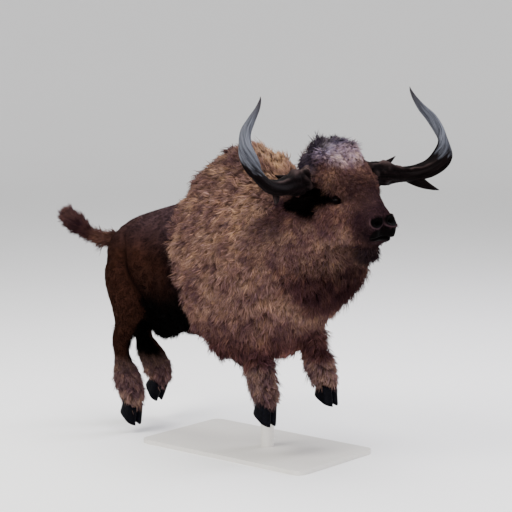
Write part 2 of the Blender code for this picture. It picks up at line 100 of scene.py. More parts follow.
# Splinters on each horn: root, tip, thickness.
SPURS = {
    "left": (((0.000, 0.340, 0.030), (0.000, 0.530, 0.098), 0.046),
             ((0.120, 0.555, -0.026), (0.243, 0.690, -0.120), 0.054)),
    "right": (((-0.005, 0.300, 0.020), (-0.030, 0.460, 0.048), 0.050),
              ((0.125, 0.570, -0.030), (0.222, 0.650, -0.098), 0.034)),
}
# Ear in the head's frame: forward, outward, up, half width, cup depth.
EAR = (
    (0.075, 0.130, -0.105, 0.020, 0.012), (0.055, 0.180, -0.118, 0.026, 0.018),
    (0.030, 0.240, -0.135, 0.042, 0.026), (0.010, 0.300, -0.145, 0.044, 0.026),
    (-0.005, 0.350, -0.145, 0.030, 0.018), (-0.012, 0.385, -0.140, 0.006, 0.005),
)
EAR_BACK = np.array((-0.85, 0.15, 0.35))            # the way the back of the ear looks
EAR_SIDES = 28                                      # faces round each ear

CLAW_LENGTH, CLAW_WIDTH, CLAW_HEIGHT = 0.152, 0.072, 0.102
CLAW_TOE_SLOPE, CLAW_SPREAD = 0.052, 0.0380         # toe before the heel, claw from the middle
GROWTH_RINGS = 9

SKIN_TRIANGLES = 190000
PIECE_TRIANGLES = 200000                            # a piece of coat stays under this
DEEPEST_COAT = 0.075                                # the coat is nowhere deeper than this
BAKE_PATCH = 0.003                                  # side of a tuft's place in the UV map

# Coronet centre (x, z), track and toe-down tilt of each foot.
FEET = {
    ("fore", "right"): (0.282, 0.392, 0.22, 36),
    ("fore", "left"): (0.436, 0.472, 0.22, 28),
    ("hind", "right"): (-0.948, 0.215, 0.20, 40),
    ("hind", "left"): (-1.062, 0.300, 0.20, 58),
}

# The lie of the coat: place (x, distance from the middle, z) and the way the hair points there.
BODY_LIE = (
    ((-1.15, 0.12, 1.42), (-1.0, 0.0, -0.3)), ((-0.80, 0.05, 1.58), (-1.0, 0.0, -0.1)),
    ((-0.90, 0.30, 1.25), (-0.75, 0.0, -0.7)), ((-1.22, 0.12, 1.10), (-0.3, 0.0, -1.0)),
    ((-1.00, 0.30, 0.90), (-0.3, 0.0, -1.0)), ((-0.60, 0.36, 1.20), (-0.85, 0.0, -0.5)),
    ((-0.60, 0.20, 0.75), (-0.7, 0.0, -0.7)), ((-0.30, 0.05, 0.70), (-0.6, 0.0, -0.8)),
    ((-0.45, 0.10, 1.85), (-0.8, 0.0, -0.5)), ((-0.20, 0.05, 2.03), (-1.0, 0.0, -0.1)),
    ((0.05, 0.05, 2.05), (-1.0, 0.0, 0.2)), ((0.35, 0.05, 1.92), (-1.0, 0.0, 0.2)),
    ((-0.45, 0.35, 1.60), (-0.8, 0.0, -0.7)), ((-0.20, 0.45, 1.50), (-0.65, 0.0, -0.8)),
    ((0.10, 0.47, 1.40), (-0.45, 0.0, -0.9)), ((-0.30, 0.43, 1.10), (-0.6, 0.0, -0.8)),
    ((0.00, 0.45, 1.00), (-0.3, 0.0, -1.0)), ((0.30, 0.42, 1.20), (-0.2, 0.0, -1.0)),
    ((0.30, 0.42, 1.60), (-0.5, 0.0, -0.9)), ((0.45, 0.25, 1.82), (-0.7, 0.3, -0.6)),
    ((0.55, 0.30, 1.50), (-0.2, 0.0, -1.0)), ((0.10, 0.30, 0.75), (-0.2, 0.0, -1.0)),
    ((0.30, 0.20, 0.80), (0.0, 0.0, -1.0)), ((0.60, 0.15, 1.10), (0.0, 0.0, -1.0)),
    ((0.75, 0.05, 1.20), (0.15, 0.0, -1.0)), ((0.25, 0.22, 0.50), (0.0, 0.0, -1.0)),
    ((0.42, 0.22, 0.52), (0.15, 0.0, -1.0)), ((-1.05, 0.20, 0.60), (0.1, 0.0, -1.0)),
    ((-0.97, 0.20, 0.30), (0.2, 0.0, -1.0)), ((-1.22, 0.20, 0.62), (0.2, 0.0, -1.0)),
    ((-1.10, 0.20, 0.40), (0.6, 0.0, -0.8)), ((-1.35, 0.03, 1.31), (-1.0, 0.0, -0.1)),
    ((-1.55, 0.03, 1.33), (-1.0, 0.0, 0.4)), ((-1.75, 0.04, 1.43), (-0.9, 0.0, 0.6)),
)
HEAD_LIE = (
    ((-0.12, 0.05, 0.22), (-0.4, 0.0, 0.8)), ((0.03, 0.05, 0.25), (0.4, 0.0, 0.6)),
    ((0.14, 0.05, 0.18), (0.8, 0.0, -0.1)), ((0.21, 0.03, 0.07), (0.6, 0.0, -0.8)),
    ((0.30, 0.03, -0.04), (0.7, 0.0, -0.7)), ((0.42, 0.03, -0.14), (0.8, 0.0, -0.5)),
    ((0.10, 0.20, 0.05), (0.1, 0.5, -0.8)), ((0.05, 0.23, -0.15), (-0.4, 0.0, -0.8)),
    ((0.19, 0.17, -0.18), (-0.2, 0.0, -1.0)), ((0.15, 0.20, -0.34), (-0.1, 0.0, -1.0)),
    ((0.34, 0.11, -0.28), (-0.5, 0.0, -0.8)), ((0.45, 0.09, -0.30), (-0.7, 0.0, -0.5)),
    ((0.30, 0.04, -0.44), (-0.5, 0.0, -0.85)), ((0.43, 0.03, -0.40), (-0.4, 0.0, -0.9)),
    ((-0.12, 0.18, -0.20), (-0.3, 0.0, -0.9)), ((0.0, 0.16, -0.42), (0.0, 0.0, -1.0)),
    ((-0.03, 0.19, 0.11), (-0.1, 0.9, -0.1)), ((0.22, 0.15, -0.055), (-0.2, 0.2, -1.0)),
)

# Default colours of hide and coat, as the eye sees them in soft light. Several hold painted light
# and shade: forelock is partly a painted purple-grey rim light, rump_top a painted cool sheen,
# crest painted top light and nostril_rim a painted highlight; belly is painted near black, poll
# dark bluish and eyelid near black for shade.
COLOURS = {
    "hump": "604D47", "mane": "765E55", "mane_low": "513837", "forehead": "644C46",
    "forelock": "96909E", "cheek": "5E4641", "muzzle": "3A2A2E", "black": "030202",
    "rump_top": "3D2F33", "rump": "21120D", "belly": "020101", "stocking": "6F5A56",
    "tail": "3D2A25", "tail_tuft": "2B1B1A", "nose": "030202", "chin": "413438",
    "nostril_rim": "3E3134", "poll": "3B3541", "crest": "7E6653", "eyelid": "050303",
}


# ---------------------------------------------------------------- small tools
def linear(hex_colour, alpha=True):
    """An sRGB hex colour as linear light."""
    srgb = np.array([int(hex_colour[i:i + 2], 16) / 255 for i in (0, 2, 4)])
    light = np.where(srgb <= 0.04045, srgb / 12.92, ((srgb + 0.055) / 1.055) ** 2.4)
    return (*light, 1.0) if alpha else light


def coat_colour(name):
    """A colour of hide or coat from the scene's own settings, in linear light."""
    return np.array(getattr(bpy.context.scene.wisent_colours, name), float)


def ramp(x, low, high):
    """0 below low, 1 above high, smooth between: 3t^2 - 2t^3."""
    t = np.clip((x - low) / (high - low), 0, 1)
    return t * t * (3 - 2 * t)


def unit(v):
    """Each row at length one."""
    return v / np.maximum(np.linalg.norm(v, axis=-1, keepdims=True), 1e-9)


def to_head(p):
    """World points as forward, left, up from between the horn roots."""
    return (p - HEAD_ORIGIN) @ HEAD_AXES


def from_head(p):
    """The head's forward, left, up as world points."""
    return np.asarray(p, float) @ HEAD_AXES.T + HEAD_ORIGIN


def mirrored(p):
    """Points with their left-right distance made positive."""
    return p * (1, 0, 1) + np.abs(p) * (0, 1, 0)


def ripple(p, wavelength, seed):
    """A smooth wandering value from -1 to 1: the mean of eight sine waves in random directions."""
    rng = np.random.default_rng(seed)
    waves = unit(rng.normal(size=(8, 3))) * (2 * math.pi / wavelength)
    waves *= rng.uniform(0.6, 1.5, (8, 1))
    return np.sin(p @ waves.T + rng.uniform(0, 2 * math.pi, 8)).mean(1) * 1.8


def curve_through(rows, steps):
    """Rows of numbers along a path, filled in with a Catmull-Rom curve, steps to each span."""
    rows = np.array(rows, float)
    padded = np.vstack([2 * rows[0] - rows[1], rows, 2 * rows[-1] - rows[-2]])
    a, b, c, d = (padded[i:len(padded) - 3 + i, None] for i in range(4))
    t = np.linspace(0, 1, steps, endpoint=False)[None, :, None]
    filled = 0.5 * (2 * b + (c - a) * t + (2 * a - 5 * b + 4 * c - d) * t * t
                    + (3 * b - a - 3 * c + d) * t ** 3)
    return np.vstack([filled.reshape(-1, rows.shape[1]), rows[-1]])


def grid_faces(rows, columns):
    """Quads of a grid of points whose columns close on themselves."""
    i, j = np.mgrid[0:rows - 1, 0:columns]
    k = (j + 1) % columns
    return np.stack([i * columns + j, i * columns + k,
                     (i + 1) * columns + k, (i + 1) * columns + j], -1).reshape(-1, 4)


def cap_faces(rows, columns):
    """Fans that close both ends of such a grid on two more points, first end then last."""
    j = np.arange(columns)
    k = (j + 1) % columns
    last = (rows - 1) * columns
    first_pole = np.full(columns, rows * columns)
    return np.concatenate([np.stack([k, j, first_pole], -1),
                           np.stack([last + j, last + k, first_pole + 1], -1)])


def closed_tube(grid):
    """Points and faces of a tube from its grid of rings, both ends closed on their middles."""
    rows, columns = grid.shape[:2]
    points = np.vstack([grid.reshape(-1, 3), grid[0].mean(0), grid[-1].mean(0)])
    return points, [grid_faces(rows, columns), cap_faces(rows, columns)]


def joined(shapes):
    """Several (points, [faces]) as one."""
    points, faces, start = [], {}, 0
    for pts, sets in shapes:
        points.append(pts)
        for f in sets:
            faces.setdefault(f.shape[1], []).append(f + start)
        start += len(pts)
    return np.vstack(points), [np.vstack(f) for f in faces.values()]


def mesh_object(name, points, face_sets):
    """A smooth-shaded object from arrays of points and of triangles or quads."""
    mesh = bpy.data.meshes.new(name)
    loops = np.concatenate([np.asarray(f, np.int32).ravel() for f in face_sets])
    sizes = np.concatenate([np.full(len(f), f.shape[1], np.int32) for f in face_sets])
    mesh.vertices.add(len(points))
    mesh.vertices.foreach_set("co", np.asarray(points, np.float32).ravel())
    mesh.loops.add(len(loops))
    mesh.loops.foreach_set("vertex_index", loops)
    mesh.polygons.add(len(sizes))
    mesh.polygons.foreach_set("loop_start", np.cumsum(sizes) - sizes)
    mesh.update(calc_edges=True)
    mesh.validate()
    mesh.shade_smooth()
    obj = bpy.data.objects.new(name, mesh)
    bpy.context.scene.collection.objects.link(obj)
    return obj


def face_outwards(obj):
    """Turns every face of a closed mesh outwards."""
    bm = bmesh.new()
    bm.from_mesh(obj.data)
    bmesh.ops.recalc_face_normals(bm, faces=bm.faces)
    bm.to_mesh(obj.data)
    bm.free()


def put_attribute(obj, name, kind, values):
    """A value for each point of the mesh: FLOAT, FLOAT_VECTOR or FLOAT_COLOR."""
    field = {"FLOAT": "value", "FLOAT_VECTOR": "vector", "FLOAT_COLOR": "color"}[kind]
    made = obj.data.attributes.new(name, kind, "POINT")
    made.data.foreach_set(field, np.asarray(values, np.float32).ravel())


def points_of(mesh):
    """A mesh's points, a row each."""
    out = np.empty(len(mesh.vertices) * 3, np.float32)
    mesh.vertices.foreach_get("co", out)
    return out.reshape(-1, 3).astype(float)


def normals_of(mesh):
    """The way a mesh faces at each point."""
    out = np.empty(len(mesh.vertices) * 3, np.float32)
    mesh.vertex_normals.foreach_get("vector", out)
    return out.reshape(-1, 3).astype(float)


def finish_piece(obj, surface, nodes=()):
    """Gives a piece its material and body, and hides the CAD nodes it stands for."""
    obj.data.materials.append(surface)
    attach(obj, "root")
    if nodes:
        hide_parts(*nodes)
    return obj


# ---------------------------------------------------------------- materials
BLEND = {"data_type": "RGBA"}                       # a Mix node of colours: inputs 0, 6, 7
TINT = {"data_type": "RGBA", "blend_type": "MULTIPLY"}


def new_material(name):
    """An empty node material and its tree."""
    made = bpy.data.materials.new(name)
    made.use_nodes = True
    made.node_tree.nodes.clear()
    return made, made.node_tree


def add_node(tree, kind, settings=None, **inputs):
    """Adds a shader node. Settings are its own fields. Inputs go by socket name, or by _ and the
    socket's number, and each is a value, another node's output, or a node for its first output."""
    node = tree.nodes.new("ShaderNode" + kind)
    for key, value in (settings or {}).items():
        setattr(node, key, value)
    for key, value in inputs.items():
        socket = node.inputs[int(key[1:]) if key[0] == "_" else key.replace("_", " ")]
        if isinstance(value, bpy.types.Node):
            value = value.outputs[0]
        if isinstance(value, bpy.types.NodeSocket):
            tree.links.new(value, socket)
        else:
            socket.default_value = value
    return node


def patched_marking(tree):
    """The marking with the light and dark patches that hide and coat share: two noises over the
    body, one of 0.10 m for locks of wool and one of 0.24 m for the larger weathering. The
    marking's alpha is their strength."""
    marks = add_node(tree, "Attribute", {"attribute_name": "Marking"})
    patched = marks.outputs["Color"]
    place = add_node(tree, "TexCoord").outputs["Object"]
    locks = add_node(tree, "TexNoise", None, Vector=place, Scale=10.0, Detail=3.0, Roughness=0.55)
    large = add_node(tree, "TexNoise", None, Vector=place, Scale=4.2, Detail=2.0, Roughness=0.5)
    for noise, low, high, dark, light in (
            (locks, 0.38, 0.64, (0.78, 0.71, 0.76, 1), (1.18, 1.15, 1.07, 1)),
            (large, 0.40, 0.60, (0.72, 0.66, 0.72, 1), (1.18, 1.16, 1.08, 1))):
        share = add_node(tree, "MapRange", None, Value=noise, From_Min=low, From_Max=high)
        tint = add_node(tree, "Mix", BLEND, _0=share, _6=dark, _7=light).outputs[2]
        patched = add_node(tree, "Mix", TINT, _0=1.0, _6=patched, _7=tint).outputs[2]
    return add_node(tree, "Mix", BLEND, _0=marks.outputs["Alpha"], _6=marks.outputs["Color"],
                    _7=patched).outputs[2]


def woolly_coat():
    """Wool and guard hair of a wisent: matt keratin strands, painted darker at the root for the
    shade deep in the coat and bleached at the tip, so close and fine that light scatters among
    them and leaves almost no gloss."""
    made, tree = new_material("wisent_wool")
    shader = add_node(tree, "BsdfPrincipled", None, Base_Color=patched_marking(tree),
                      Roughness=0.9, Specular_IOR_Level=0.01)
    add_node(tree, "OutputMaterial", None, Surface=shader)
    return made


def short_hide():
    """Short flat hair over living skin: dark, close and nearly matt on the body, and bare
    pebbled leather on the nose, smoother to the light, where the Bare value is 1."""
    made, tree = new_material("wisent_hide")
    bare = add_node(tree, "Attribute", {"attribute_name": "Bare"}).outputs["Fac"]
    place = add_node(tree, "TexCoord").outputs["Object"]
    # Hairs are under 0.1 mm: the grain is drawn 6 mm wide and 33 mm long, so that it shows.
    lie = add_node(tree, "Mapping", None, Vector=place, Rotation=(0, math.radians(35), 0),
                   Scale=(30, 160, 160))
    hair = add_node(tree, "TexNoise", None, Vector=lie, Scale=1.0, Detail=3.0, Roughness=0.6)
    grain = add_node(tree, "Mix", BLEND, _0=hair, _6=(0.62, 0.60, 0.60, 1),
                     _7=(1.35, 1.33, 1.30, 1)).outputs[2]
    colour = add_node(tree, "Mix", TINT, _0=1.0, _6=patched_marking(tree), _7=grain).outputs[2]
    colour = add_node(tree, "Mix", BLEND, _0=bare, _6=colour,
                      _7=(*coat_colour("nose"), 1)).outputs[2]
    pebble = add_node(tree, "TexVoronoi", {"feature": "DISTANCE_TO_EDGE"}, Vector=place,
                      Scale=160.0).outputs["Distance"]
    relief = add_node(tree, "Mix", None, _0=bare, _2=hair, _3=pebble)
    bump = add_node(tree, "Bump", None, Strength=0.35, Distance=0.004, Height=relief)
    smooth = add_node(tree, "MapRange", None, Value=bare, To_Min=0.75, To_Max=0.45)
    shader = add_node(tree, "BsdfPrincipled", None, Base_Color=colour, Roughness=smooth,
                      Specular_IOR_Level=0.01, Normal=bump)
    add_node(tree, "OutputMaterial", None, Surface=shader)
    return made


def horn_keratin():
    """Old horn: dark rough keratin at the root, ground by use to smooth slate grey towards the
    tip, with fine fibres along it. Grain runs round and along the horn, Along is metres from the
    root, and Crest is 1 on the tops of its ridges, which carry a painted highlight."""
    made, tree = new_material("horn_keratin_aged")
    grain = add_node(tree, "Attribute", {"attribute_name": "Grain"}).outputs["Vector"]
    along = add_node(tree, "Attribute", {"attribute_name": "Along"}).outputs["Fac"]
    crest = add_node(tree, "Attribute", {"attribute_name": "Crest"}).outputs["Fac"]
    lengthways = add_node(tree, "Mapping", None, Vector=grain, Scale=(7, 7, 5))
    fibre = add_node(tree, "TexNoise", None, Vector=lengthways, Scale=1.0, Detail=5.0,
                     Roughness=0.65)
    crossways = add_node(tree, "Mapping", None, Vector=grain, Scale=(2.5, 2.5, 9))
    ragged = add_node(tree, "TexNoise", None, Vector=crossways, Scale=1.0, Detail=4.0,
                      Roughness=0.6)
    # The grey begins some 0.8 m out, sooner on the rubbed front and upper side, with a torn edge.
    turned = add_node(tree, "VectorMath", {"operation": "DOT_PRODUCT"}, _0=grain,
                      _1=(0.02, 0.06, 1.0)).outputs["Value"]
    torn = add_node(tree, "MapRange", None, Value=ragged, From_Min=0.3, From_Max=0.7,
                    To_Min=-0.07, To_Max=0.07)
    edge = add_node(tree, "Math", {"operation": "ADD"}, _0=turned, _1=torn)
    worn = add_node(tree, "MapRange", None, Value=edge, From_Min=0.77, From_Max=0.88)
    pale = add_node(tree, "MapRange", None, Value=fibre, From_Min=0.38, From_Max=0.74)
    dark = add_node(tree, "Mix", BLEND, _0=pale, _6=linear("020101"),
                    _7=linear("110B0C")).outputs[2]
    # Painted highlight: the tops of the ridges are lighter.
    dark = add_node(tree, "Mix", BLEND, _0=crest, _6=dark, _7=linear("3C302F")).outputs[2]
    pale = add_node(tree, "MapRange", None, Value=fibre, From_Min=0.36, From_Max=0.66)
    slate = add_node(tree, "Mix", BLEND, _0=pale, _6=linear("18181D"),
                     _7=linear("646770")).outputs[2]
    tip = add_node(tree, "MapRange", None, Value=along, From_Min=1.08, From_Max=1.24)
    slate = add_node(tree, "Mix", BLEND, _0=tip, _6=slate, _7=linear("2E2B2F")).outputs[2]
    colour = add_node(tree, "Mix", BLEND, _0=worn, _6=dark, _7=slate).outputs[2]
    bump = add_node(tree, "Bump", None, Strength=0.35, Distance=0.004, Height=fibre)
    smooth = add_node(tree, "MapRange", None, Value=worn, To_Min=0.60, To_Max=0.36)
    shader = add_node(tree, "BsdfPrincipled", None, Base_Color=colour, Roughness=smooth,
                      Specular_IOR_Level=0.015, Normal=bump)
    add_node(tree, "OutputMaterial", None, Surface=shader)
    return made


def hoof_keratin():
    """Black hoof horn: hard, close and a little smooth, with growth rings some 10 mm apart."""
    made, tree = new_material("hoof_keratin_black")
    place = add_node(tree, "Attribute", {"attribute_name": "Grain"}).outputs["Vector"]
    rings = add_node(tree, "TexWave", {"wave_type": "BANDS", "bands_direction": "Z"},
                     Vector=place, Scale=28.0, Distortion=2.5, Detail=2.0,
                     Detail_Scale=1.5).outputs["Fac"]
    # Painted sheen: random bluish flecks lighten the black horn.
    sheen_flecks = add_node(tree, "TexNoise", None, Vector=place, Scale=60.0, Detail=4.0)
    sheen_share = add_node(tree, "MapRange", None, Value=sheen_flecks, From_Min=0.45, From_Max=0.75)
    colour = add_node(tree, "Mix", BLEND, _0=sheen_share, _6=linear("020204"),
                      _7=linear("0A0A14")).outputs[2]
    bump = add_node(tree, "Bump", None, Strength=0.35, Distance=0.003, Height=rings)
    shader = add_node(tree, "BsdfPrincipled", None, Base_Color=colour, Roughness=0.42,
                      Specular_IOR_Level=0.03, Normal=bump)
    add_node(tree, "OutputMaterial", None, Surface=shader)
    return made


def eye_glass():
    """A living eye, wet and near black: dark brown iris round a level pupil, clear cornea over."""
    made, tree = new_material("eye_wet")
    place = add_node(tree, "Attribute", {"attribute_name": "Grain"}).outputs["Vector"]
    flat = add_node(tree, "Mapping", None, Vector=place, Scale=(1.0, 1.7, 0.0))
    out = add_node(tree, "VectorMath", {"operation": "LENGTH"}, _0=flat).outputs["Value"]
    rays = add_node(tree, "TexNoise", None, Vector=place, Scale=6.0, Detail=3.0)
    iris = add_node(tree, "Mix", BLEND, _0=rays, _6=linear("060302"),
                    _7=linear("140B06")).outputs[2]
    round_pupil = add_node(tree, "MapRange", None, Value=out, From_Min=0.42, From_Max=0.50)
    colour = add_node(tree, "Mix", BLEND, _0=round_pupil, _6=linear("020202"), _7=iris).outputs[2]
    shader = add_node(tree, "BsdfPrincipled", None, Base_Color=colour, Roughness=0.25,
                      Specular_IOR_Level=0.1, Coat_Weight=0.06, Coat_Roughness=0.06)
    add_node(tree, "OutputMaterial", None, Surface=shader)
    return made


def painted_steel(name, hex_colour, roughness):
    """Powder-coated steel: an even matt paint with a fine orange-peel skin."""
    made, tree = new_material(name)
    place = add_node(tree, "TexCoord").outputs["Object"]
    peel = add_node(tree, "TexNoise", None, Vector=place, Scale=260.0, Detail=2.0)
    cloud = add_node(tree, "TexNoise", None, Vector=place, Scale=3.0, Detail=3.0)
    base = np.array(linear(hex_colour, False))
    colour = add_node(tree, "Mix", BLEND, _0=cloud, _6=(*(base * 0.93), 1),
                      _7=(*np.minimum(base * 1.05, 1), 1)).outputs[2]
    bump = add_node(tree, "Bump", None, Strength=0.12, Distance=0.001, Height=peel)
    shader = add_node(tree, "BsdfPrincipled", None, Base_Color=colour, Roughness=roughness,
                      Normal=bump)
    add_node(tree, "OutputMaterial", None, Surface=shader)
    return made


# ---------------------------------------------------------------- regions of the body
def regions(p):
    """Shares of each kind of coat at world points, from planes and balls in the body's and the
    head's frames. Each is 0 to 1, and they are laid over one another in the order of LAYERS."""
    x, y, z = p.T
    f, l, t = to_head(p).T
    side = np.abs(l)
    ahead = (p - MANE_EDGE) @ MANE_FORWARD
    wobble = 0.02 * ripple(p, 0.22, 3)
    out = {"rump": np.ones(len(p))}
    # Painted shade: the insides of the hind legs take the belly's near black.
    inner = (ramp(0.21 - np.abs(y), -0.01, 0.03) * ramp(-0.70 - x, 0.0, 0.1)
             * ramp(0.95 - z, 0.0, 0.1))
    out["belly"] = np.maximum(ramp(1.18 - z + wobble, 0.0, 0.26) * ramp(x, -0.84, -0.78), inner)
    out["belly"] *= ramp(z, 0.44, 0.50)
    out["fringe"] = out["belly"] * ramp(0.90 - z, 0.0, 0.10) * ramp(x, -0.95, -0.85)
    out["mane"] = ramp(ahead + wobble, -0.015, 0.02) * ramp(x, -0.9, -0.6)
    out["hump"] = out["mane"] * ramp(z - 0.3 * np.abs(y) + wobble, 1.62, 1.92)
    out["low"] = out["mane"] * ramp(1.05 - z + wobble, 0.0, 0.30)
    out["foreleg"] = ramp(0.66 - z, -0.02, 0.05) * ramp(x, -0.1, 0.05)
    hock = np.where(y < 0, 0.53, 0.49)
    out["stocking"] = ramp(hock - z + 1.5 * wobble, -0.03, 0.12) * ramp(-0.6 - x, 0, 0.1)
    out["tail"] = ramp(-1.27 - x, 0.0, 0.05) * ramp(z, 1.15, 1.2)
    out["tail_tuft"] = ramp(-1.54 - x, 0.0, 0.08)
    # Ruff of the throat and breast, which hangs furthest out along the front.
    out["throat"] = (out["mane"] * ramp(x + 0.35 * (z - 1.10), 0.48, 0.66)
                     * ramp(1.55 - z, 0.0, 0.20))
    head = (ramp(f - 0.35 * np.minimum(t, 0), -0.20, -0.12) * ramp(t, -0.62, -0.48)
            * ramp(x, 0.3, 0.4))
    out["head"] = head
    out["cheek"] = head * ramp(-0.10 - t, 0.0, 0.10)
    crown = t - 0.45 * (f - 0.03) - 0.8 * np.maximum(side - 0.08, 0)
    out["forelock"] = head * ramp(crown + 0.6 * wobble, -0.02, 0.15)
    # Painted shade: the back and sides of the crown, turned from the light, take the dark bluish
    # poll colour.
    out["poll"] = head * ramp(t, 0.0, 0.08) * np.maximum(
        ramp(0.02 - f, 0.0, 0.07), ramp(side - 0.6 * f, 0.10, 0.20) * ramp(0.14 - f, 0.0, 0.08))
    # Painted shade: black wool under the horn runs from the ear's root to the eye, and fills the
    # hollow below it.
    m = np.stack([f, side, t], 1)
    root, eye = np.array((-0.060, 0.240, -0.075)), np.array((0.245, 0.160, -0.112))
    share = np.clip((m - root) @ (eye - root) / ((eye - root) @ (eye - root)), 0, 1)
    away = np.linalg.norm(m - root - share[:, None] * (eye - root), axis=1)
    hollow = np.linalg.norm((m - (-0.010, 0.245, -0.165)) / (1.45, 1.0, 1.0), axis=1)
    out["temple"] = head * np.maximum(
        ramp(0.125 - 0.098 * share ** 0.8 - away + wobble, -0.02, 0.03),
        ramp(0.078 - hollow + wobble, -0.02, 0.03))
    gap = np.linalg.norm((m - (-0.100, 0.220, -0.100)) / (1.5, 1.0, 0.8), axis=1)
    out["temple"] *= ramp(gap, 0.020, 0.035)
    out["beard"] = head * ramp(-0.40 - t, -0.03, 0.03) * ramp(f, 0.05, 0.15)
    snout = f + 0.15 * np.maximum(t + 0.235, 0)
    out["muzzle"] = head * ramp(snout + wobble, 0.240, 0.420)
    out["chin"] = head * np.maximum(ramp(f, 0.40, 0.44) * ramp(-0.360 - t, 0.0, 0.02),
                                    ramp(f, 0.26, 0.33) * ramp(-0.400 - t, 0.0, 0.02))
    # Painted shade: black hair rings the eye, as the shade round it.
    lid = np.sqrt(((f - EYE_CENTRE[0] - 0.004) / 2.2) ** 2 + (side - EYE_CENTRE[1]) ** 2
                  + (t - EYE_CENTRE[2]) ** 2)
    out["eyelid"] = head * ramp(0.036 - lid, 0.0, 0.012)
    # Bare leather: a pad between the nostrils, the upper lip, and the nostrils themselves.
    pad = ramp(0.044 - side, 0, 0.012) * ramp(f, 0.455, 0.475) * ramp(-0.192 - t, 0, 0.012)
    lip = ramp(-0.270 - 1.03 * (0.497 - f) - t, -0.006, 0.012) * ramp(f, 0.36, 0.40)
    pit = ramp(1.02 - nostril_reach(m), 0, 0.06)
    out["nose"] = head * np.maximum(np.maximum(pad, lip) * ramp(t, -0.366, -0.352), pit)
    return out


def nostril_reach(m):
    """How far out a point of the mirrored head lies in the nostril's oval: 1 on its rim, which
    faces forward and outward, 0 in its middle."""
    d = m - np.array(NOSTRIL)
    across = -0.61 * d[:, 0] + 0.78 * d[:, 1]
    through = 0.78 * d[:, 0] + 0.61 * d[:, 1]
    return np.sqrt((across / 0.047) ** 2 + (d[:, 2] / 0.040) ** 2 + (through / 0.09) ** 4)


# Coat of each region: colour, depth of coat over the skin, tuft length, width, lift from the
# skin in degrees, curl, share drawn to the clump's tip, clump spacing, tufts for a square metre.
LAYERS = {
    "rump": ("rump", 0.005, 0.028, 0.0050, 15, 0.10, 0.15, 0.05, 14500),
    "belly": ("belly", 0.010, 0.048, 0.0055, 26, 0.30, 0.40, 0.06, 12000),
    "fringe": ("belly", 0.016, 0.040, 0.0048, 48, 0.50, 0.50, 0.022, 18000),
    "mane": ("mane", 0.038, 0.062, 0.0068, 38, 0.66, 0.46, 0.038, 23000),
    "low": ("mane_low", 0.036, 0.080, 0.0066, 40, 0.60, 0.62, 0.036, 22000),
    "hump": ("hump", 0.030, 0.074, 0.0064, 44, 0.60, 0.56, 0.036, 22000),
    "foreleg": ("stocking", 0.016, 0.058, 0.0060, 42, 0.42, 0.62, 0.028, 26000),
    "stocking": ("stocking", 0.014, 0.054, 0.0060, 38, 0.42, 0.62, 0.028, 26000),
    "tail": ("tail", 0.010, 0.060, 0.0044, 58, 0.60, 0.34, 0.024, 36000),
    "tail_tuft": ("tail_tuft", 0.024, 0.060, 0.0046, 54, 0.55, 0.38, 0.024, 38000),
    "throat": ("mane_low", 0.026, 0.088, 0.0052, 58, 0.56, 0.44, 0.030, 22000),
    "head": ("forehead", 0.016, 0.027, 0.0048, 42, 0.75, 0.36, 0.026, 38000),
    "cheek": ("cheek", 0.020, 0.040, 0.0054, 36, 0.65, 0.36, 0.032, 30000),
    "forelock": ("forelock", 0.022, 0.056, 0.0052, 50, 0.80, 0.42, 0.034, 32000),
    "poll": ("poll", 0.015, 0.064, 0.0054, 46, 0.70, 0.46, 0.032, 30000),
    "beard": ("mane_low", 0.026, 0.078, 0.0048, 56, 0.50, 0.38, 0.028, 26000),
    "temple": ("black", 0.014, 0.034, 0.0054, 30, 0.40, 0.40, 0.034, 26000),
    "muzzle": ("muzzle", 0.002, 0.020, 0.0036, 22, 0.15, 0.15, 0.026, 52000),
    "chin": ("chin", 0.010, 0.056, 0.0044, 58, 0.45, 0.34, 0.024, 34000),
    "eyelid": ("black", 0.006, 0.014, 0.0030, 16, 0.10, 0.10, 0.020, 30000),
    "nose": ("nose", 0.003, 0.006, 0.0020, 6, 0.00, 0.00, 0.020, 0),
}
COAT_COLUMNS = ("depth", "length", "width", "lift", "curl", "draw", "spacing", "count")


def layered(shares, values):
    """Values of the regions laid over one another: each share covers what is under it."""
    out = None
    for name in LAYERS:
        value = np.asarray(values[name], float)
        share = shares[name]
        if out is None:
            out = np.broadcast_to(value, (len(share),) + value.shape).copy()
            continue
        if value.ndim:
            share = share[:, None]
        out += share * (value - out)
    return out


def mottle(shares):
    """How strongly the patches of the wool show: fully in long hair, faintly in the sleek."""
    long = shares["stocking"] + shares["foreleg"] + shares["tail"] + shares["mane"]
    return 0.30 + 0.70 * np.clip(long + shares["head"] * (1 - shares["muzzle"]), 0, 1)


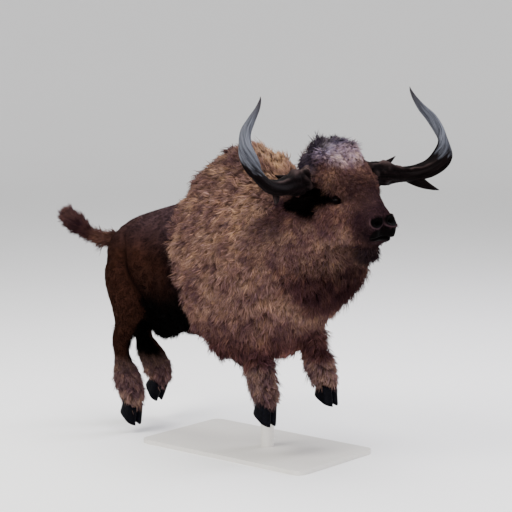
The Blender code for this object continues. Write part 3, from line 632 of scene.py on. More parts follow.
def marking(p, shares):
    """Colour of hide and coat at world points, in linear light: the regions' own colours laid
    over one another, then lightened or darkened place by place, much of it painted light and shade."""
    colour = layered(shares, {n: coat_colour(row[0]) for n, row in LAYERS.items()})
    x, y, z = p.T
    back = (1 - shares["mane"]) * ramp(z, 1.25, 1.62)
    # Painted light: the haunch is lighter, as lit.
    haunch_light = (1 - shares["mane"]) * ramp(-0.86 - x, 0.0, 0.14) * ramp(z, 0.75, 1.0)
    colour *= 1 + 0.35 * haunch_light[:, None]
    m = mirrored(p)
    # A paler lock hangs before the near foreleg, and the hem between the forelegs is painted much
    # lighter against the shade there.
    pale = bump_at(p, (0.20, 0.04, 0.70), (0.09, 0.12, 0.07), 2.6)
    lock = ((0.235, -0.25, 0.84), (0.26, -0.23, 0.77), (0.30, -0.21, 0.69))
    pale -= groove_along(p, lock, 0.014, 1.3)
    colour *= 1 + (shares["mane"] * pale)[:, None]
    # Painted light: the top of the hump's front is paler, as lit from above.
    crest = (1 - shares["head"]) * shares["hump"] * ramp(x, -0.02, 0.22) * ramp(z, 1.70, 1.90)
    colour += crest[:, None] * (coat_colour("crest") - colour)
    # Painted light: the thigh behind its groove and the flank before it are lighter, as lit.
    thigh_light = bump_at(m, (-0.97, 0.28, 1.16), (0.07, 0.2, 0.20), 0.15)
    thigh_light += bump_at(m, (-0.90, 0.28, 0.96), (0.05, 0.2, 0.12), 0.35)
    flank_light = bump_at(m, (-0.80, 0.28, 1.30), (0.09, 0.2, 0.11), 0.85)
    colour *= 1 + ((1 - shares["mane"]) * (thigh_light + flank_light))[:, None]
    # Painted shade lies along the hollows.
    for path, width, depth in BODY_GROOVES:
        dark = groove_along(m, path, 0.85 * width, -1.0) * min(25 * depth, 0.88)
        colour *= 1 - ((1 - shares["mane"]) * dark)[:, None]
    # Painted shadow: a dark bluish shade lies on the hair just behind the mane.
    behind = ((1 - shares["mane"]) * ramp((p - MANE_EDGE) @ MANE_FORWARD, -0.15, -0.03)
              * ramp(x, -0.9, -0.6))
    colour *= 1 - behind[:, None] * np.array((0.50, 0.45, 0.25))
    # Painted sheen: the top of the back is blended towards the paler, cooler rump_top colour, as
    # lit from above.
    colour += back[:, None] * 0.75 * (coat_colour("rump_top") - colour)
    f, l, t = to_head(p).T
    wool = shares["mane"] * (1 - shares["foreleg"])
    front = ramp(x, 0.42, 0.88) * ramp(1.52 - z, 0.0, 0.30) * ramp(z, 0.72, 0.90) * wool
    bridge = shares["head"] * (1 - shares["muzzle"]) * ramp(f, 0.22, 0.40)
    # The jaw has the mane's lighter wool. Chest, throat and the bridge of the nose are darker.
    jaw = (shares["head"] * (1 - shares["muzzle"]) * ramp(-0.22 - t, 0.0, 0.12)
           * ramp(0.34 - f, 0, 0.12))
    colour += 0.9 * jaw[:, None] * (coat_colour("mane") - colour)
    foot = wool * ramp(0.92 - z, 0.0, 0.20)
    upper = shares["stocking"] * ramp(z, 0.34, 0.48)
    # Painted shade: the near foreleg is darkened against the far one.
    near_leg_shade = shares["foreleg"] * ramp(0.05 - y, 0.0, 0.1)
    shade = np.ones(len(p))
    for part, darker in ((upper, 0.35), (near_leg_shade, 0.20), (front, 0.80), (bridge, 0.25),
                         (foot, 0.15)):
        shade *= 1 - darker * part
    # Painted light: the front of the forelock is paler and warmer, as lit.
    lit_front_lock = (shares["forelock"] * (1 - shares["poll"]) * ramp(f, 0.03, 0.12))[:, None]
    colour = colour * (1 + lit_front_lock * np.array((0.40, 0.22, 0.10)))
    # Painted light and shade: the forehead is lit in the middle and shaded above the eyes and on
    # its upper sides.
    lit = ramp(0.13 - np.abs(l), 0.0, 0.08) * ramp(t, 0.02, 0.08)
    brow = ramp(0.06 - t, 0.0, 0.08) * ramp(t, -0.14, -0.09)
    plain = shares["head"] * (1 - shares["forelock"]) * (1 - shares["muzzle"])
    shade *= 1 + plain * (0.40 * lit - 0.50 * brow - 0.22 * (1 - lit) * ramp(t, -0.02, 0.06))
    shade *= 1 - 0.55 * shares["beard"] * ramp(f, 0.10, 0.30)
    shade *= 1 - 0.45 * shares["muzzle"] * (1 - shares["chin"]) * ramp(-0.22 - t, 0.0, 0.08)
    shade *= 1 - 0.50 * shares["forelock"] * ramp(t + 0.4 * (0.12 - f), 0.19, 0.25)
    # Painted shadow: the wool behind and below the ear, under the horn, is darkened and made
    # purplish.
    hollow = bump_at(m, (0.42, 0.36, 1.57), (0.16, 0.2, 0.13), 0.60)
    hollow += bump_at(m, (0.44, 0.24, 1.72), (0.09, 0.2, 0.06), 0.45)
    hollow *= (1 - shares["temple"]) * ramp(1.85 - z, 0.0, 0.1)
    colour = colour * (1 - np.minimum(hollow, 0.7)[:, None] * np.array((1.0, 1.0, 0.88)))
    return colour * shade[:, None]


# ---------------------------------------------------------------- the skin
def flesh_mesh(name):
    """Points and triangles of a CAD node, its loose triangles merged."""
    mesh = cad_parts[name].data
    mesh.calc_loop_triangles()
    tris = np.empty(len(mesh.loop_triangles) * 3, np.int32)
    mesh.loop_triangles.foreach_get("vertices", tris)
    keys, back = np.unique(np.round(points_of(mesh) * 1e5).astype(np.int64), axis=0,
                           return_inverse=True)
    tris = back.reshape(-1)[tris].reshape(-1, 3)
    good = (tris[:, 0] != tris[:, 1]) & (tris[:, 1] != tris[:, 2]) & (tris[:, 0] != tris[:, 2])
    return keys / 1e5, tris[good]


class Field:
    """Distances to a surface on a regular grid of points, negative inside."""

    def __init__(self, low, high, voxel, band):
        self.low = np.asarray(low, float)
        self.voxel, self.band = voxel, band
        self.shape = tuple(np.ceil((np.asarray(high) - self.low) / voxel).astype(int) + 1)
        self.values = np.full(self.shape, band * voxel, np.float32)

    def add_mesh(self, points, triangles=None, quads=None):
        """Joins a closed mesh to what is there."""
        faces = {}
        if triangles is not None and len(triangles):
            faces["triangles"] = np.asarray(triangles, np.uint32)
        if quads is not None and len(quads):
            faces["quads"] = np.asarray(quads, np.uint32)
        grid = openvdb.FloatGrid.createLevelSetFromPolygons(
            np.asarray(points - self.low, np.float32), halfWidth=self.band,
            transform=openvdb.createLinearTransform(voxelSize=self.voxel), **faces)
        part = np.empty(self.shape, np.float32)
        grid.copyToArray(part)
        np.minimum(self.values, part, out=self.values)

    def add_capsule(self, a, b, radius):
        """Joins a round-ended rod: distance to the line from a to b, less the radius."""
        a, b = np.asarray(a, float), np.asarray(b, float)
        reach = radius + self.band * self.voxel
        first = np.maximum(((np.minimum(a, b) - reach - self.low) / self.voxel).astype(int), 0)
        last = np.minimum(((np.maximum(a, b) + reach - self.low) / self.voxel).astype(int) + 2,
                          self.shape)
        box = tuple(slice(i, j) for i, j in zip(first, last))
        p = np.stack(np.meshgrid(*[self.low[k] + self.voxel * np.arange(first[k], last[k])
                                   for k in range(3)], indexing="ij"), -1)
        share = np.clip(((p - a) @ (b - a)) / max(float((b - a) @ (b - a)), 1e-9), 0, 1)
        away = np.linalg.norm(p - a - share[..., None] * (b - a), axis=-1) - radius
        self.values[box] = np.minimum(self.values[box], away)

    def places(self):
        """World points of the grid, slab by slab along x."""
        yz = np.stack(np.meshgrid(*[self.low[k] + self.voxel * np.arange(self.shape[k])
                                    for k in (1, 2)], indexing="ij"), -1).reshape(-1, 2)
        for i in range(self.shape[0]):
            x = np.full((len(yz), 1), self.low[0] + self.voxel * i)
            yield i, np.hstack([x, yz])

    def smooth(self, times):
        """Averages each value with its neighbours along every axis, weights 1-2-1."""
        for _ in range(times):
            for axis in range(3):
                v = self.values
                ahead = np.concatenate([v.take(range(1, v.shape[axis]), axis),
                                        v.take([-1], axis)], axis)
                behind = np.concatenate([v.take([0], axis),
                                         v.take(range(v.shape[axis] - 1), axis)], axis)
                self.values = 0.25 * (ahead + behind) + 0.5 * v

    def surface(self, level=0.0):
        """Points, triangles and quads where the value crosses level."""
        grid = openvdb.FloatGrid(self.band * self.voxel)
        grid.transform = openvdb.createLinearTransform(voxelSize=self.voxel)
        grid.copyFromArray(self.values - np.float32(level))
        points, triangles, quads = grid.convertToPolygons(isovalue=0.0, adaptivity=0.0)
        return points.astype(float) + self.low, triangles, quads


def largest_shell(points, quads):
    """Keeps the largest joined part of a mesh of quads: labels spread along edges till still."""
    label = np.arange(len(points))
    edges = np.vstack([quads[:, [0, 1]], quads[:, [1, 2]], quads[:, [2, 3]], quads[:, [3, 0]]])
    while True:
        before = label.copy()
        low = np.minimum(label[edges[:, 0]], label[edges[:, 1]])
        np.minimum.at(label, edges[:, 0], low)
        np.minimum.at(label, edges[:, 1], low)
        label = label[label]
        if (label == before).all():
            break
    names, counts = np.unique(label, return_counts=True)
    keep = label == names[np.argmax(counts)]
    index = np.cumsum(keep) - 1
    return points[keep], index[quads[keep[quads[:, 0]]]]


def bump_at(p, centre, reach, height):
    """A round swelling or hollow: height * exp(-(distance/reach)^2), reach may differ by axis."""
    away = ((p - np.asarray(centre)) / np.asarray(reach)) ** 2
    return height * np.exp(-away.sum(1))


def groove_along(p, path, width, depth):
    """A valley along a broken line: -depth * exp(-(distance/width)^2)."""
    path = np.asarray(path, float)
    away = np.full(len(p), 1e9)
    for a, b in zip(path, path[1:]):
        share = np.clip(((p - a) @ (b - a)) / ((b - a) @ (b - a)), 0, 1)
        away = np.minimum(away, ((p - a - share[:, None] * (b - a)) ** 2).sum(1))
    return -depth * np.exp(-away / width ** 2)


# Hollows and swellings of the body under short hair: path or place for the right side, mirrored.
BODY_GROOVES = (
    (((-1.015, 0.255, 1.40), (-0.958, 0.273, 1.308), (-0.927, 0.287, 1.215), (-0.887, 0.290, 1.129),
      (-0.836, 0.285, 1.050), (-0.797, 0.277, 0.963), (-0.805, 0.245, 0.888)), 0.024, 0.036),
)
BODY_SWELLS = (
    ((-1.00, 0.29, 1.16), (0.06, 0.10, 0.16), 0.010),
    ((-0.80, 0.24, 1.47), (0.09, 0.10, 0.06), 0.014),
    ((-1.15, 0.27, 1.17), (0.07, 0.10, 0.05), -0.012),
    ((-1.16, 0.25, 1.29), (0.07, 0.10, 0.05), 0.010),
    ((-0.50, 0.10, 0.74), (0.20, 0.30, 0.10), -0.020),
    ((-0.80, 0.31, 1.27), (0.08, 0.10, 0.10), 0.014),
    ((-0.93, 0.28, 0.95), (0.06, 0.07, 0.12), 0.012),
)
# The same for the face, in the head's frame. The first three are measured from the eye.
ROUND_EYE = (
    ((0.0, -0.005, 0.034), (0.050, 0.05, 0.020), 0.018),        # brow
    ((0.0, 0.0, -0.038), (0.045, 0.05, 0.016), 0.006),          # lower rim of the socket
    ((0.012, 0.0, 0.0), (0.034, 0.05, 0.020), -0.014),          # socket
)
FACE_SWELLS = (
    ((0.33, 0.115, -0.215), (0.07, 0.05, 0.035), 0.008),        # cheek before the mouth
    ((0.40, 0.0, -0.12), (0.06, 0.05, 0.05), 0.006),            # bridge of the nose
    ((0.40, 0.0, -0.445), (0.07, 0.10, 0.06), -0.022),          # underside of the chin
    ((0.495, 0.0, -0.24), (0.05, 0.06, 0.09), -0.020),          # front of the nose
    ((0.13, 0.0, 0.185), (0.07, 0.12, 0.05), 0.020),            # forelock's front
    ((-0.07, 0.13, 0.20), (0.06, 0.08, 0.06), -0.014),          # forelock's back corners
)
MOUTH = ((0.37, 0.11, -0.352), (0.42, 0.10, -0.360), (0.46, 0.075, -0.352),
         (0.485, 0.04, -0.345), (0.490, 0.0, -0.342))
LIP_CLEFT = ((0.500, 0.0, -0.26), (0.500, 0.0, -0.34))


def head_relief(q):
    """How far the face stands out from its plain form, in the head's frame, mirrored: brow and
    cheek swell, the eye lies in a hollow, nostrils are pits with a rolled rim, the mouth is a
    groove under the lip."""
    m = mirrored(q)
    eye, nostril = np.array(EYE_CENTRE), np.array(NOSTRIL)
    reach = nostril_reach(m)
    out = bump_at(m, nostril + (-0.006, 0.006, 0.0), (0.060, 0.070, 0.055), 0.004)
    for place, size, height in ROUND_EYE:
        out += bump_at(m, eye + place, size, height)
    for place, size, height in FACE_SWELLS:
        out += bump_at(m, place, size, height)
    out += 0.007 * np.exp(-((reach - 1.0) / 0.20) ** 2)
    out -= 0.036 * np.exp(-(reach / 0.62) ** 4)
    out += groove_along(m, MOUTH, 0.009, 0.016)
    out += groove_along(m, LIP_CLEFT, 0.006, 0.006)
    return out


def thin_out(obj, most):
    """Collapses edges, the flattest places first, until about `most` triangles are left."""
    count = sum(len(face.vertices) - 2 for face in obj.data.polygons)
    thin = obj.modifiers.new("Thin", "DECIMATE")
    thin.ratio = most / count
    with bpy.context.temp_override(object=obj, active_object=obj):
        bpy.ops.object.modifier_apply(modifier=thin.name)


def build_skin(sizes):
    """Points and quads of the skin: the distance to the joined flesh, plus the coat's depth at
    each place, smoothed and followed where it is zero."""
    low, high = np.array(CAD_BOX[0]) - 0.05, np.array(CAD_BOX[1]) + 0.05
    low[2] = 0.10                                   # the skin ends in the hooves, above this
    # First join the nodes: the hair-thin gaps between them close when the level is raised 1 mm.
    rough = Field(low, high, sizes.grain, 3)
    for name in FLESH:
        rough.add_mesh(*flesh_mesh(name))
    # Rods carry the skin into the horns and ears, over the eyes' sockets, into the hooves and
    # round the stand.
    for sign in SIDES.values():
        rough.add_capsule(from_head((0, 0, 0)), from_head((0.0, sign * 0.205, 0.0)), 0.080)
        rough.add_capsule(from_head((0.05, sign * 0.12, -0.11)),
                          from_head((0.05, sign * 0.18, -0.118)), 0.040)
        rough.add_capsule(from_head((0.19, sign * 0.12, -0.11)),
                          from_head((0.200, sign * 0.150, -0.110)), 0.030)
    for (end, side), (x, z, track, tilt) in FEET.items():
        foot = np.array((x, SIDES[side] * track, z))
        up = np.array((math.sin(math.radians(tilt)), 0, math.cos(math.radians(tilt))))
        rough.add_capsule(foot + up * 0.02, foot - up * 0.015, 0.046)
    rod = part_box("stand_rod")
    rod_x = (rod[0].x + rod[1].x) / 2
    rough.add_capsule((rod_x, 0, rod[1].z + 0.02), (rod_x, 0, rod[1].z - 0.06), 0.060)
    points, triangles, quads = rough.surface(0.001)
    # Then measure afresh from the joined surface, and sink it by the depth of the coat.
    fine = Field(low, high, sizes.grain, 8)
    fine.add_mesh(points, triangles, quads)
    depth = {name: row[1] for name, row in LAYERS.items()}
    for i, places in fine.places():
        slab = fine.values[i].reshape(-1)
        near = np.abs(slab) < DEEPEST_COAT
        if near.any():
            slab[near] += layered(regions(places[near]), depth)
    fine.smooth(3)
    points, _, quads = fine.surface()
    return largest_shell(points, quads)


def refine_face(obj):
    """Cuts the faces of the muzzle and cheeks in four, twice, and smooths out the steps."""
    bm = bmesh.new()
    bm.from_mesh(obj.data)
    for _ in range(2):
        bm.faces.ensure_lookup_table()
        f, l, t = to_head(np.array([face.calc_center_median() for face in bm.faces])).T
        wanted = (f > 0.12) & (t < 0.02) & (f + 0.8 * (t + 0.42) > 0.14)
        edges = list(dict.fromkeys(e for i in np.nonzero(wanted)[0] for e in bm.faces[i].edges))
        bmesh.ops.subdivide_edges(bm, edges=edges, cuts=1, use_grid_fill=True)
    bmesh.ops.triangulate(bm, faces=[face for face in bm.faces if len(face.verts) > 4])
    f, l, t = to_head(np.array([v.co for v in bm.verts])).T
    bm.verts.ensure_lookup_table()
    front = [bm.verts[i] for i in np.nonzero((f > 0.10) & (t < 0.05))[0]]
    for _ in range(4):
        bmesh.ops.smooth_vert(bm, verts=front, factor=0.5, use_axis_x=True, use_axis_y=True,
                              use_axis_z=True)
    bmesh.ops.recalc_face_normals(bm, faces=bm.faces)
    bm.to_mesh(obj.data)
    bm.free()
    obj.data.update()


def skin_relief(p):
    """How far the skin stands out from its plain form at world points."""
    m, shares = mirrored(p), regions(p)
    rise, rump = np.zeros(len(p)), 1 - shares["mane"]
    for path, width, depth in BODY_GROOVES:
        rise += rump * groove_along(m, path, width, depth)
    for centre, reach, height in BODY_SWELLS:
        rise += rump * bump_at(m, centre, reach, height)
    # The mane lies in soft lumps a hand wide.
    rise += 0.014 * shares["mane"] * (1 - shares["foreleg"]) * ripple(p, 0.20, 8)
    q = to_head(p)
    on_head = q[:, 0] > -0.20
    rise[on_head] += head_relief(q[on_head])
    return rise


def mark_skin(obj):
    """Puts the marking, with painted shade under wool, and the bare leather on the skin's points,
    with a painted highlight on the rim low round each nostril."""
    p = points_of(obj.data)
    shares = regions(p)
    wool = np.maximum(np.maximum(shares["mane"], shares["head"] * (1 - shares["muzzle"])),
                      np.maximum(shares["foreleg"], shares["stocking"]))
    # Painted shade: the skin is darkened where wool covers it.
    colour = marking(p, shares) * (1 - 0.5 * wool[:, None])
    # Painted highlight: a pale rim round each nostril, strongest on its lower side.
    m = mirrored(to_head(p))
    away = m - np.array(NOSTRIL)
    low = ramp(0.012 - away[:, 2] + 0.4 * (away[:, 1] - away[:, 0]), -0.02, 0.03)
    rim = np.exp(-((nostril_reach(m) - 0.98) / 0.13) ** 2) * (0.25 + 0.75 * low)
    colour += rim[:, None] * (coat_colour("nostril_rim") - colour)
    put_attribute(obj, "Marking", "FLOAT_COLOR", np.hstack([colour, mottle(shares)[:, None]]))
    bare = np.maximum(shares["nose"], 0.6 * shares["eyelid"]) * (1 - rim)
    put_attribute(obj, "Bare", "FLOAT", bare)


class WISENT_OT_skin(bpy.types.Operator):
    """One skin in place of all the flesh nodes, sunk under them by the depth of the coat"""
    bl_idname = "wisent.skin"
    bl_label = "Skin"

    def execute(self, context):
        points, quads = build_skin(context.scene.wisent_skin)
        obj = mesh_object("skin", points, [quads])
        refine_face(obj)
        p = points_of(obj.data)
        p += normals_of(obj.data) * skin_relief(p)[:, None]
        obj.data.vertices.foreach_set("co", p.astype(np.float32).ravel())
        obj.data.update()
        thin_out(obj, SKIN_TRIANGLES)
        obj.data.shade_smooth()
        mark_skin(obj)
        finish_piece(obj, short_hide(), FLESH)
        return {"FINISHED"}


# ---------------------------------------------------------------- the coat
def lie_of_coat(p):
    """The way hair points at world points: guide arrows weighed by 1 / distance^4."""
    anchors, arrows = [], []
    for place, arrow in BODY_LIE:
        for sign in (1, -1):
            anchors.append((place[0], sign * place[1], place[2]))
            arrows.append((arrow[0], sign * arrow[1], arrow[2]))
    for place, arrow in HEAD_LIE:
        for sign in (1, -1):
            anchors.append(from_head((place[0], sign * place[1], place[2])))
            arrows.append(HEAD_AXES @ np.array((arrow[0], sign * arrow[1], arrow[2])))
    anchors, arrows = np.array(anchors), unit(np.array(arrows, float))
    away = ((p[:, None] - anchors[None]) ** 2).sum(-1) + 0.0016
    weight = 1 / away ** 2
    return unit((weight @ arrows) / weight.sum(1, keepdims=True))


def unwrap(p, shares):
    """Where a point lies on the flat pattern of the skin, from 0 to 1: trunk and head as globes
    about their long axes, each leg and the tail as a rolled-out tube, in boxes side by side."""
    uv = np.empty((len(p), 2))
    d = p - (-0.30, 0.0, 1.30)
    uv[:, 0] = 0.02 + 0.56 * (np.arctan2(d[:, 1], -d[:, 2]) / (2 * math.pi) + 0.5)
    uv[:, 1] = 0.02 + 0.60 * np.arccos(np.clip(unit(d)[:, 0], -1, 1)) / math.pi
    head = shares["head"] > 0.5
    q = to_head(p[head]) - (0.10, 0.0, -0.12)
    uv[head, 0] = 0.61 + 0.37 * (np.arctan2(q[:, 1], -q[:, 2]) / (2 * math.pi) + 0.5)
    uv[head, 1] = 0.02 + 0.50 * np.arccos(np.clip(unit(q)[:, 0], -1, 1)) / math.pi
    limbs = (("fore", 1, 0.35, 0.22), ("fore", -1, 0.24, 0.22), ("hind", 1, -1.15, 0.20),
             ("hind", -1, -1.02, 0.20))
    for k, (end, sign, x, track) in enumerate(limbs):
        leg = (p[:, 2] < 0.70) & (np.sign(p[:, 1]) == sign) & ((p[:, 0] > -0.5) == (end == "fore"))
        r = p[leg] - (x, sign * track, 0)
        uv[leg, 0] = 0.02 + 0.14 * k + 0.12 * (np.arctan2(r[:, 1], r[:, 0]) / (2 * math.pi) + 0.5)
        uv[leg, 1] = 0.66 + 0.32 * r[:, 2] / 0.72
    tail = shares["tail"] > 0.5
    r = p[tail] - (0, 0, 1.36)
    uv[tail, 0] = 0.62 + 0.34 * (r[:, 0] + 1.95) / 0.70
    uv[tail, 1] = 0.60 + 0.10 * (np.arctan2(r[:, 1], r[:, 2]) / (2 * math.pi) + 0.5)
    return uv


class Skin:
    """The finished skin as triangles to grow hair on."""

    def __init__(self):
        mesh = bpy.data.objects["skin"].data
        mesh.calc_loop_triangles()
        self.tris = np.empty(len(mesh.loop_triangles) * 3, np.int32)
        mesh.loop_triangles.foreach_get("vertices", self.tris)
        self.tris = self.tris.reshape(-1, 3)
        self.points, self.normals = points_of(mesh), normals_of(mesh)
        a, b, c = (self.points[self.tris[:, k]] for k in range(3))
        self.areas = 0.5 * np.linalg.norm(np.cross(b - a, c - a), axis=1)
        self.middles = (a + b + c) / 3
        self.shares = regions(self.middles)

    def scatter(self, density, rng):
        """Roots spread over the triangles: one draw in each equal share of density times area,
        at a random place in its triangle."""
        total = np.cumsum(self.areas * density)
        count = int(total[-1])
        draw = (np.arange(count) + rng.random(count)) * total[-1] / count
        tri = self.tris[np.minimum(np.searchsorted(total, draw), len(total) - 1)]
        u, v = rng.random(count), rng.random(count)
        fold = u + v > 1
        u[fold], v[fold] = 1 - u[fold], 1 - v[fold]
        share = np.stack([1 - u - v, u, v], 1)[..., None]
        return (self.points[tri] * share).sum(1), unit((self.normals[tri] * share).sum(1))


def nearest(p, centres):
    """Index of and distance to the nearest centre of each point, in blocks."""
    index, away = np.empty(len(p), int), np.empty(len(p))
    square = (centres ** 2).sum(1)
    for i in range(0, len(p), 4000):
        block = p[i:i + 4000]
        d = square[None] - 2 * block @ centres.T
        index[i:i + 4000] = d.argmin(1)
        away[i:i + 4000] = np.sqrt(np.maximum(d.min(1) + (block ** 2).sum(1), 0))
    return index, away


def tuft_faces(rings):
    """Triangles of a three-sided tuft of that many rings, the last of them a single point."""
    faces = [(0, 1, 2)]
    for low in range(0, 3 * (rings - 2), 3):
        for a in range(3):
            b = (a + 1) % 3
            faces += [(low + a, low + 3 + a, low + b), (low + b, low + 3 + a, low + 3 + b)]
    last = 3 * (rings - 2)
    return np.array(faces + [(last + a, last + 3, last + (a + 1) % 3) for a in range(3)])


def grow(skin, group, seed, stages, density=1.0):
    """Tufts for a group of regions, given as a share of density on each triangle.

    Each tuft is a tapering three-sided lock. Its middle line is a parabola that leaves the skin at
    its lift and bends down to the lie of the coat; tufts of one clump turn together and draw in
    to the clump's own tip, so that the coat breaks up into locks."""
    rng = np.random.default_rng(seed)
    recipe = {c: {n: row[1 + k] for n, row in LAYERS.items()} for k, c in enumerate(COAT_COLUMNS)}
    per_area = layered(skin.shares, recipe["count"]) * group * density
    p, n = skin.scatter(per_area, rng)
    shares = regions(p)
    coat = {c: layered(shares, recipe[c]) for c in COAT_COLUMNS}
    count = len(p)
    # Clump middles are drawn from the roots, fewer where clumps are wide.
    pick = rng.random(count) < 1.25 / (coat["count"] * coat["spacing"] ** 2 + 1e-6)
    centres = p[pick] if pick.sum() > 3 else p[:4]
    which, away = nearest(p, centres)
    rim = np.clip(away / coat["spacing"], 0, 1)
    turn = rng.normal(0, 0.42, len(centres))[which] + rng.normal(0, 0.36, count)
    bold = np.exp(rng.normal(0, 0.22, len(centres)))[which]
    glow = rng.normal(0, 1, len(centres))[which]
    lie = lie_of_coat(p)
    lie = unit(lie - n * (lie * n).sum(1, keepdims=True))
    side = np.cross(n, lie)
    lie = lie * np.cos(turn)[:, None] + side * np.sin(turn)[:, None]
    side = np.cross(n, lie)
    length = coat["length"] * bold * (1.08 - 0.35 * rim ** 2) * rng.uniform(0.75, 1.2, count)
    raised = rng.uniform(0.65, 1.45, len(centres))[which]
    lift = np.radians(coat["lift"] * raised * rng.uniform(0.7, 1.3, count) * (1.15 - 0.4 * rim))
    stray = rng.random(count) < 0.28 * coat["curl"]
    lift = np.where(stray, lift + math.radians(20), lift)
    length = np.where(stray, 1.06 * length, length)
    curl = coat["curl"] * rng.normal(0, 0.8, count)
    start = lie * np.cos(lift)[:, None] + n * np.sin(lift)[:, None]
    end = unit(lie * np.cos(0.25 * lift)[:, None] + n * np.sin(0.25 * lift)[:, None]
               + side * curl[:, None] + np.array((0, 0, -0.18)) * coat["curl"][:, None])
    tips = p + length[:, None] * (start + end) / 2
    goal = np.zeros((len(centres), 3))
    np.add.at(goal, which, tips)
    goal /= np.maximum(np.bincount(which, minlength=len(centres)), 1)[:, None]
    pull = (coat["draw"] * rng.uniform(0.5, 1.2, count))[:, None] * (goal[which] - tips)
    pull = pull - n * np.minimum((pull * n).sum(1, keepdims=True), 0)
    width = coat["width"] * rng.uniform(0.7, 1.35, count)
    # Each tuft leans to tan or to purple brown, and clumps differ more than the tufts in them.
    warm = (0.05 * glow + rng.normal(0, 0.10, count))[:, None]
    marks = marking(p, shares) * np.exp(warm * np.array((0.4, 0.3, -0.7)))
    # Painted shade: tufts at a clump's rim are darker, as in the gaps between locks.
    tone = np.exp(0.13 * glow + rng.normal(0, 0.26, count)) * (1.08 - 0.24 * rim)
    root = p - n * np.minimum(0.003, 0.07 * length)[:, None]
    rings, shade, along = [], [], []
    for t, w in stages:
        middle = root + length[:, None] * (start * t + (end - start) * t * t / 2) + pull * t * t
        if w == 0:
            rings.append(middle[:, None])
        else:
            heading = unit(start + (end - start) * t)
            across = unit(np.cross(heading, n))
            up = np.cross(across, heading)
            half = across * (0.5 * w * width)[:, None]
            rings.append(np.stack([middle - half, middle + half,
                                   middle + up * (0.42 * w * width)[:, None]], 1))
        # Painted shade: each tuft darkens towards its root, as deep in the coat.
        shade += [0.46 + 0.72 * t] * rings[-1].shape[1]
        along += [t] * rings[-1].shape[1]
    points = np.concatenate(rings, 1)
    per = points.shape[1]
    shade = np.array(shade)[None, :, None] * tone[:, None, None]
    colour = np.clip(marks[:, None] * shade, 0, 1)
    strength = np.broadcast_to(mottle(shares)[:, None, None], (count, per, 1))
    patch = BAKE_PATCH * np.stack([np.arange(per) % 3 / 2 - 0.5, np.array(along) - 0.5], 1)
    return {"points": points, "faces": tuft_faces(len(stages)),
            "colour": np.concatenate([colour, strength], 2),
            "uv": unwrap(p, shares)[:, None] + patch[None], "root": p}


def coat_piece(name, tufts, keep, surface):
    """One object of the tufts that keep chooses, in the surface's material."""
    points = tufts["points"][keep]
    count, per = points.shape[:2]
    if count == 0:
        raise RuntimeError(name + " has no tufts")
    faces = (tufts["faces"][None] + per * np.arange(count)[:, None, None]).reshape(-1, 3)
    if len(faces) >= PIECE_TRIANGLES:
        raise RuntimeError(f"{name} has {len(faces)} triangles")
    obj = mesh_object(name, points.reshape(-1, 3), [faces])
    put_attribute(obj, "Marking", "FLOAT_COLOR", tufts["colour"][keep])
    layer = obj.data.uv_layers.new(name="OFBake")
    corner = np.empty(len(obj.data.loops), np.int32)
    obj.data.loops.foreach_get("vertex_index", corner)
    uv = tufts["uv"][keep].reshape(-1, 2)[corner]
    layer.data.foreach_set("uv", uv.astype(np.float32).ravel())
    finish_piece(obj, surface)


# Rings of a tuft: how far along it, and share of its full width.
SHORT = ((0.0, 1.0), (1.0, 0.0))
LONG = ((0.0, 1.0), (0.5, 0.80), (1.0, 0.0))
LOCK = ((0.0, 0.9), (0.35, 1.0), (0.72, 0.62), (1.0, 0.0))


def wool_surface():
    """The coat's material, made once."""
    return bpy.data.materials.get("wisent_wool") or woolly_coat()


def clear_of_eye(p):
    """1 where hair may grow, 0 over the eyeball."""
    away = np.linalg.norm(mirrored(to_head(p)) - EYE_CENTRE, axis=1)
    return ramp(away, EYE_RADIUS, EYE_RADIUS + 0.005)


def every(tufts):
    """Chooses all the tufts."""
    return np.ones(len(tufts["points"]), bool)


class WISENT_OT_mane(bpy.types.Operator):
    """Long wool of hump, shoulders, neck and chest"""
    bl_idname = "wisent.mane"
    bl_label = "Mane"

    def execute(self, context):
        skin = Skin()
        s = skin.shares
        group = s["mane"] * (1 - s["head"]) * (1 - s["foreleg"])
        tufts = grow(skin, group, 11, LONG, context.scene.wisent_coat.mane_density)
        x, y, z = tufts["root"].T
        cuts = {"hump_wool": z > HUMP_FROM}
        for side, own in (("left", y > 0), ("right", y <= 0)):
            cuts["shoulder_wool_" + side] = (z <= HUMP_FROM) & (z > CHEST_BELOW) & own
            cuts["chest_wool_" + side] = (z <= CHEST_BELOW) & own
        for name, keep in cuts.items():
            coat_piece(name, tufts, keep, wool_surface())
        return {"FINISHED"}


class WISENT_OT_head_wool(bpy.types.Operator):
    """Curly wool of forehead, cheeks and beard, and the short hair of the muzzle"""
    bl_idname = "wisent.head_wool"
    bl_label = "Head wool"

    def execute(self, context):
        skin = Skin()
        s = skin.shares
        group = s["head"] * (1 - s["muzzle"]) * clear_of_eye(skin.middles) * (1 - s["nose"])
        tufts = grow(skin, group, 12, LONG, context.scene.wisent_coat.head_density)
        y = to_head(tufts["root"])[:, 1]
        for side, sign in SIDES.items():
            coat_piece("head_wool_" + side, tufts, y * sign >= 0, wool_surface())
        tufts = grow(skin, s["head"] * s["muzzle"] * (1 - s["nose"]), 13, SHORT)
        coat_piece("muzzle_hair", tufts, every(tufts), wool_surface())
        return {"FINISHED"}


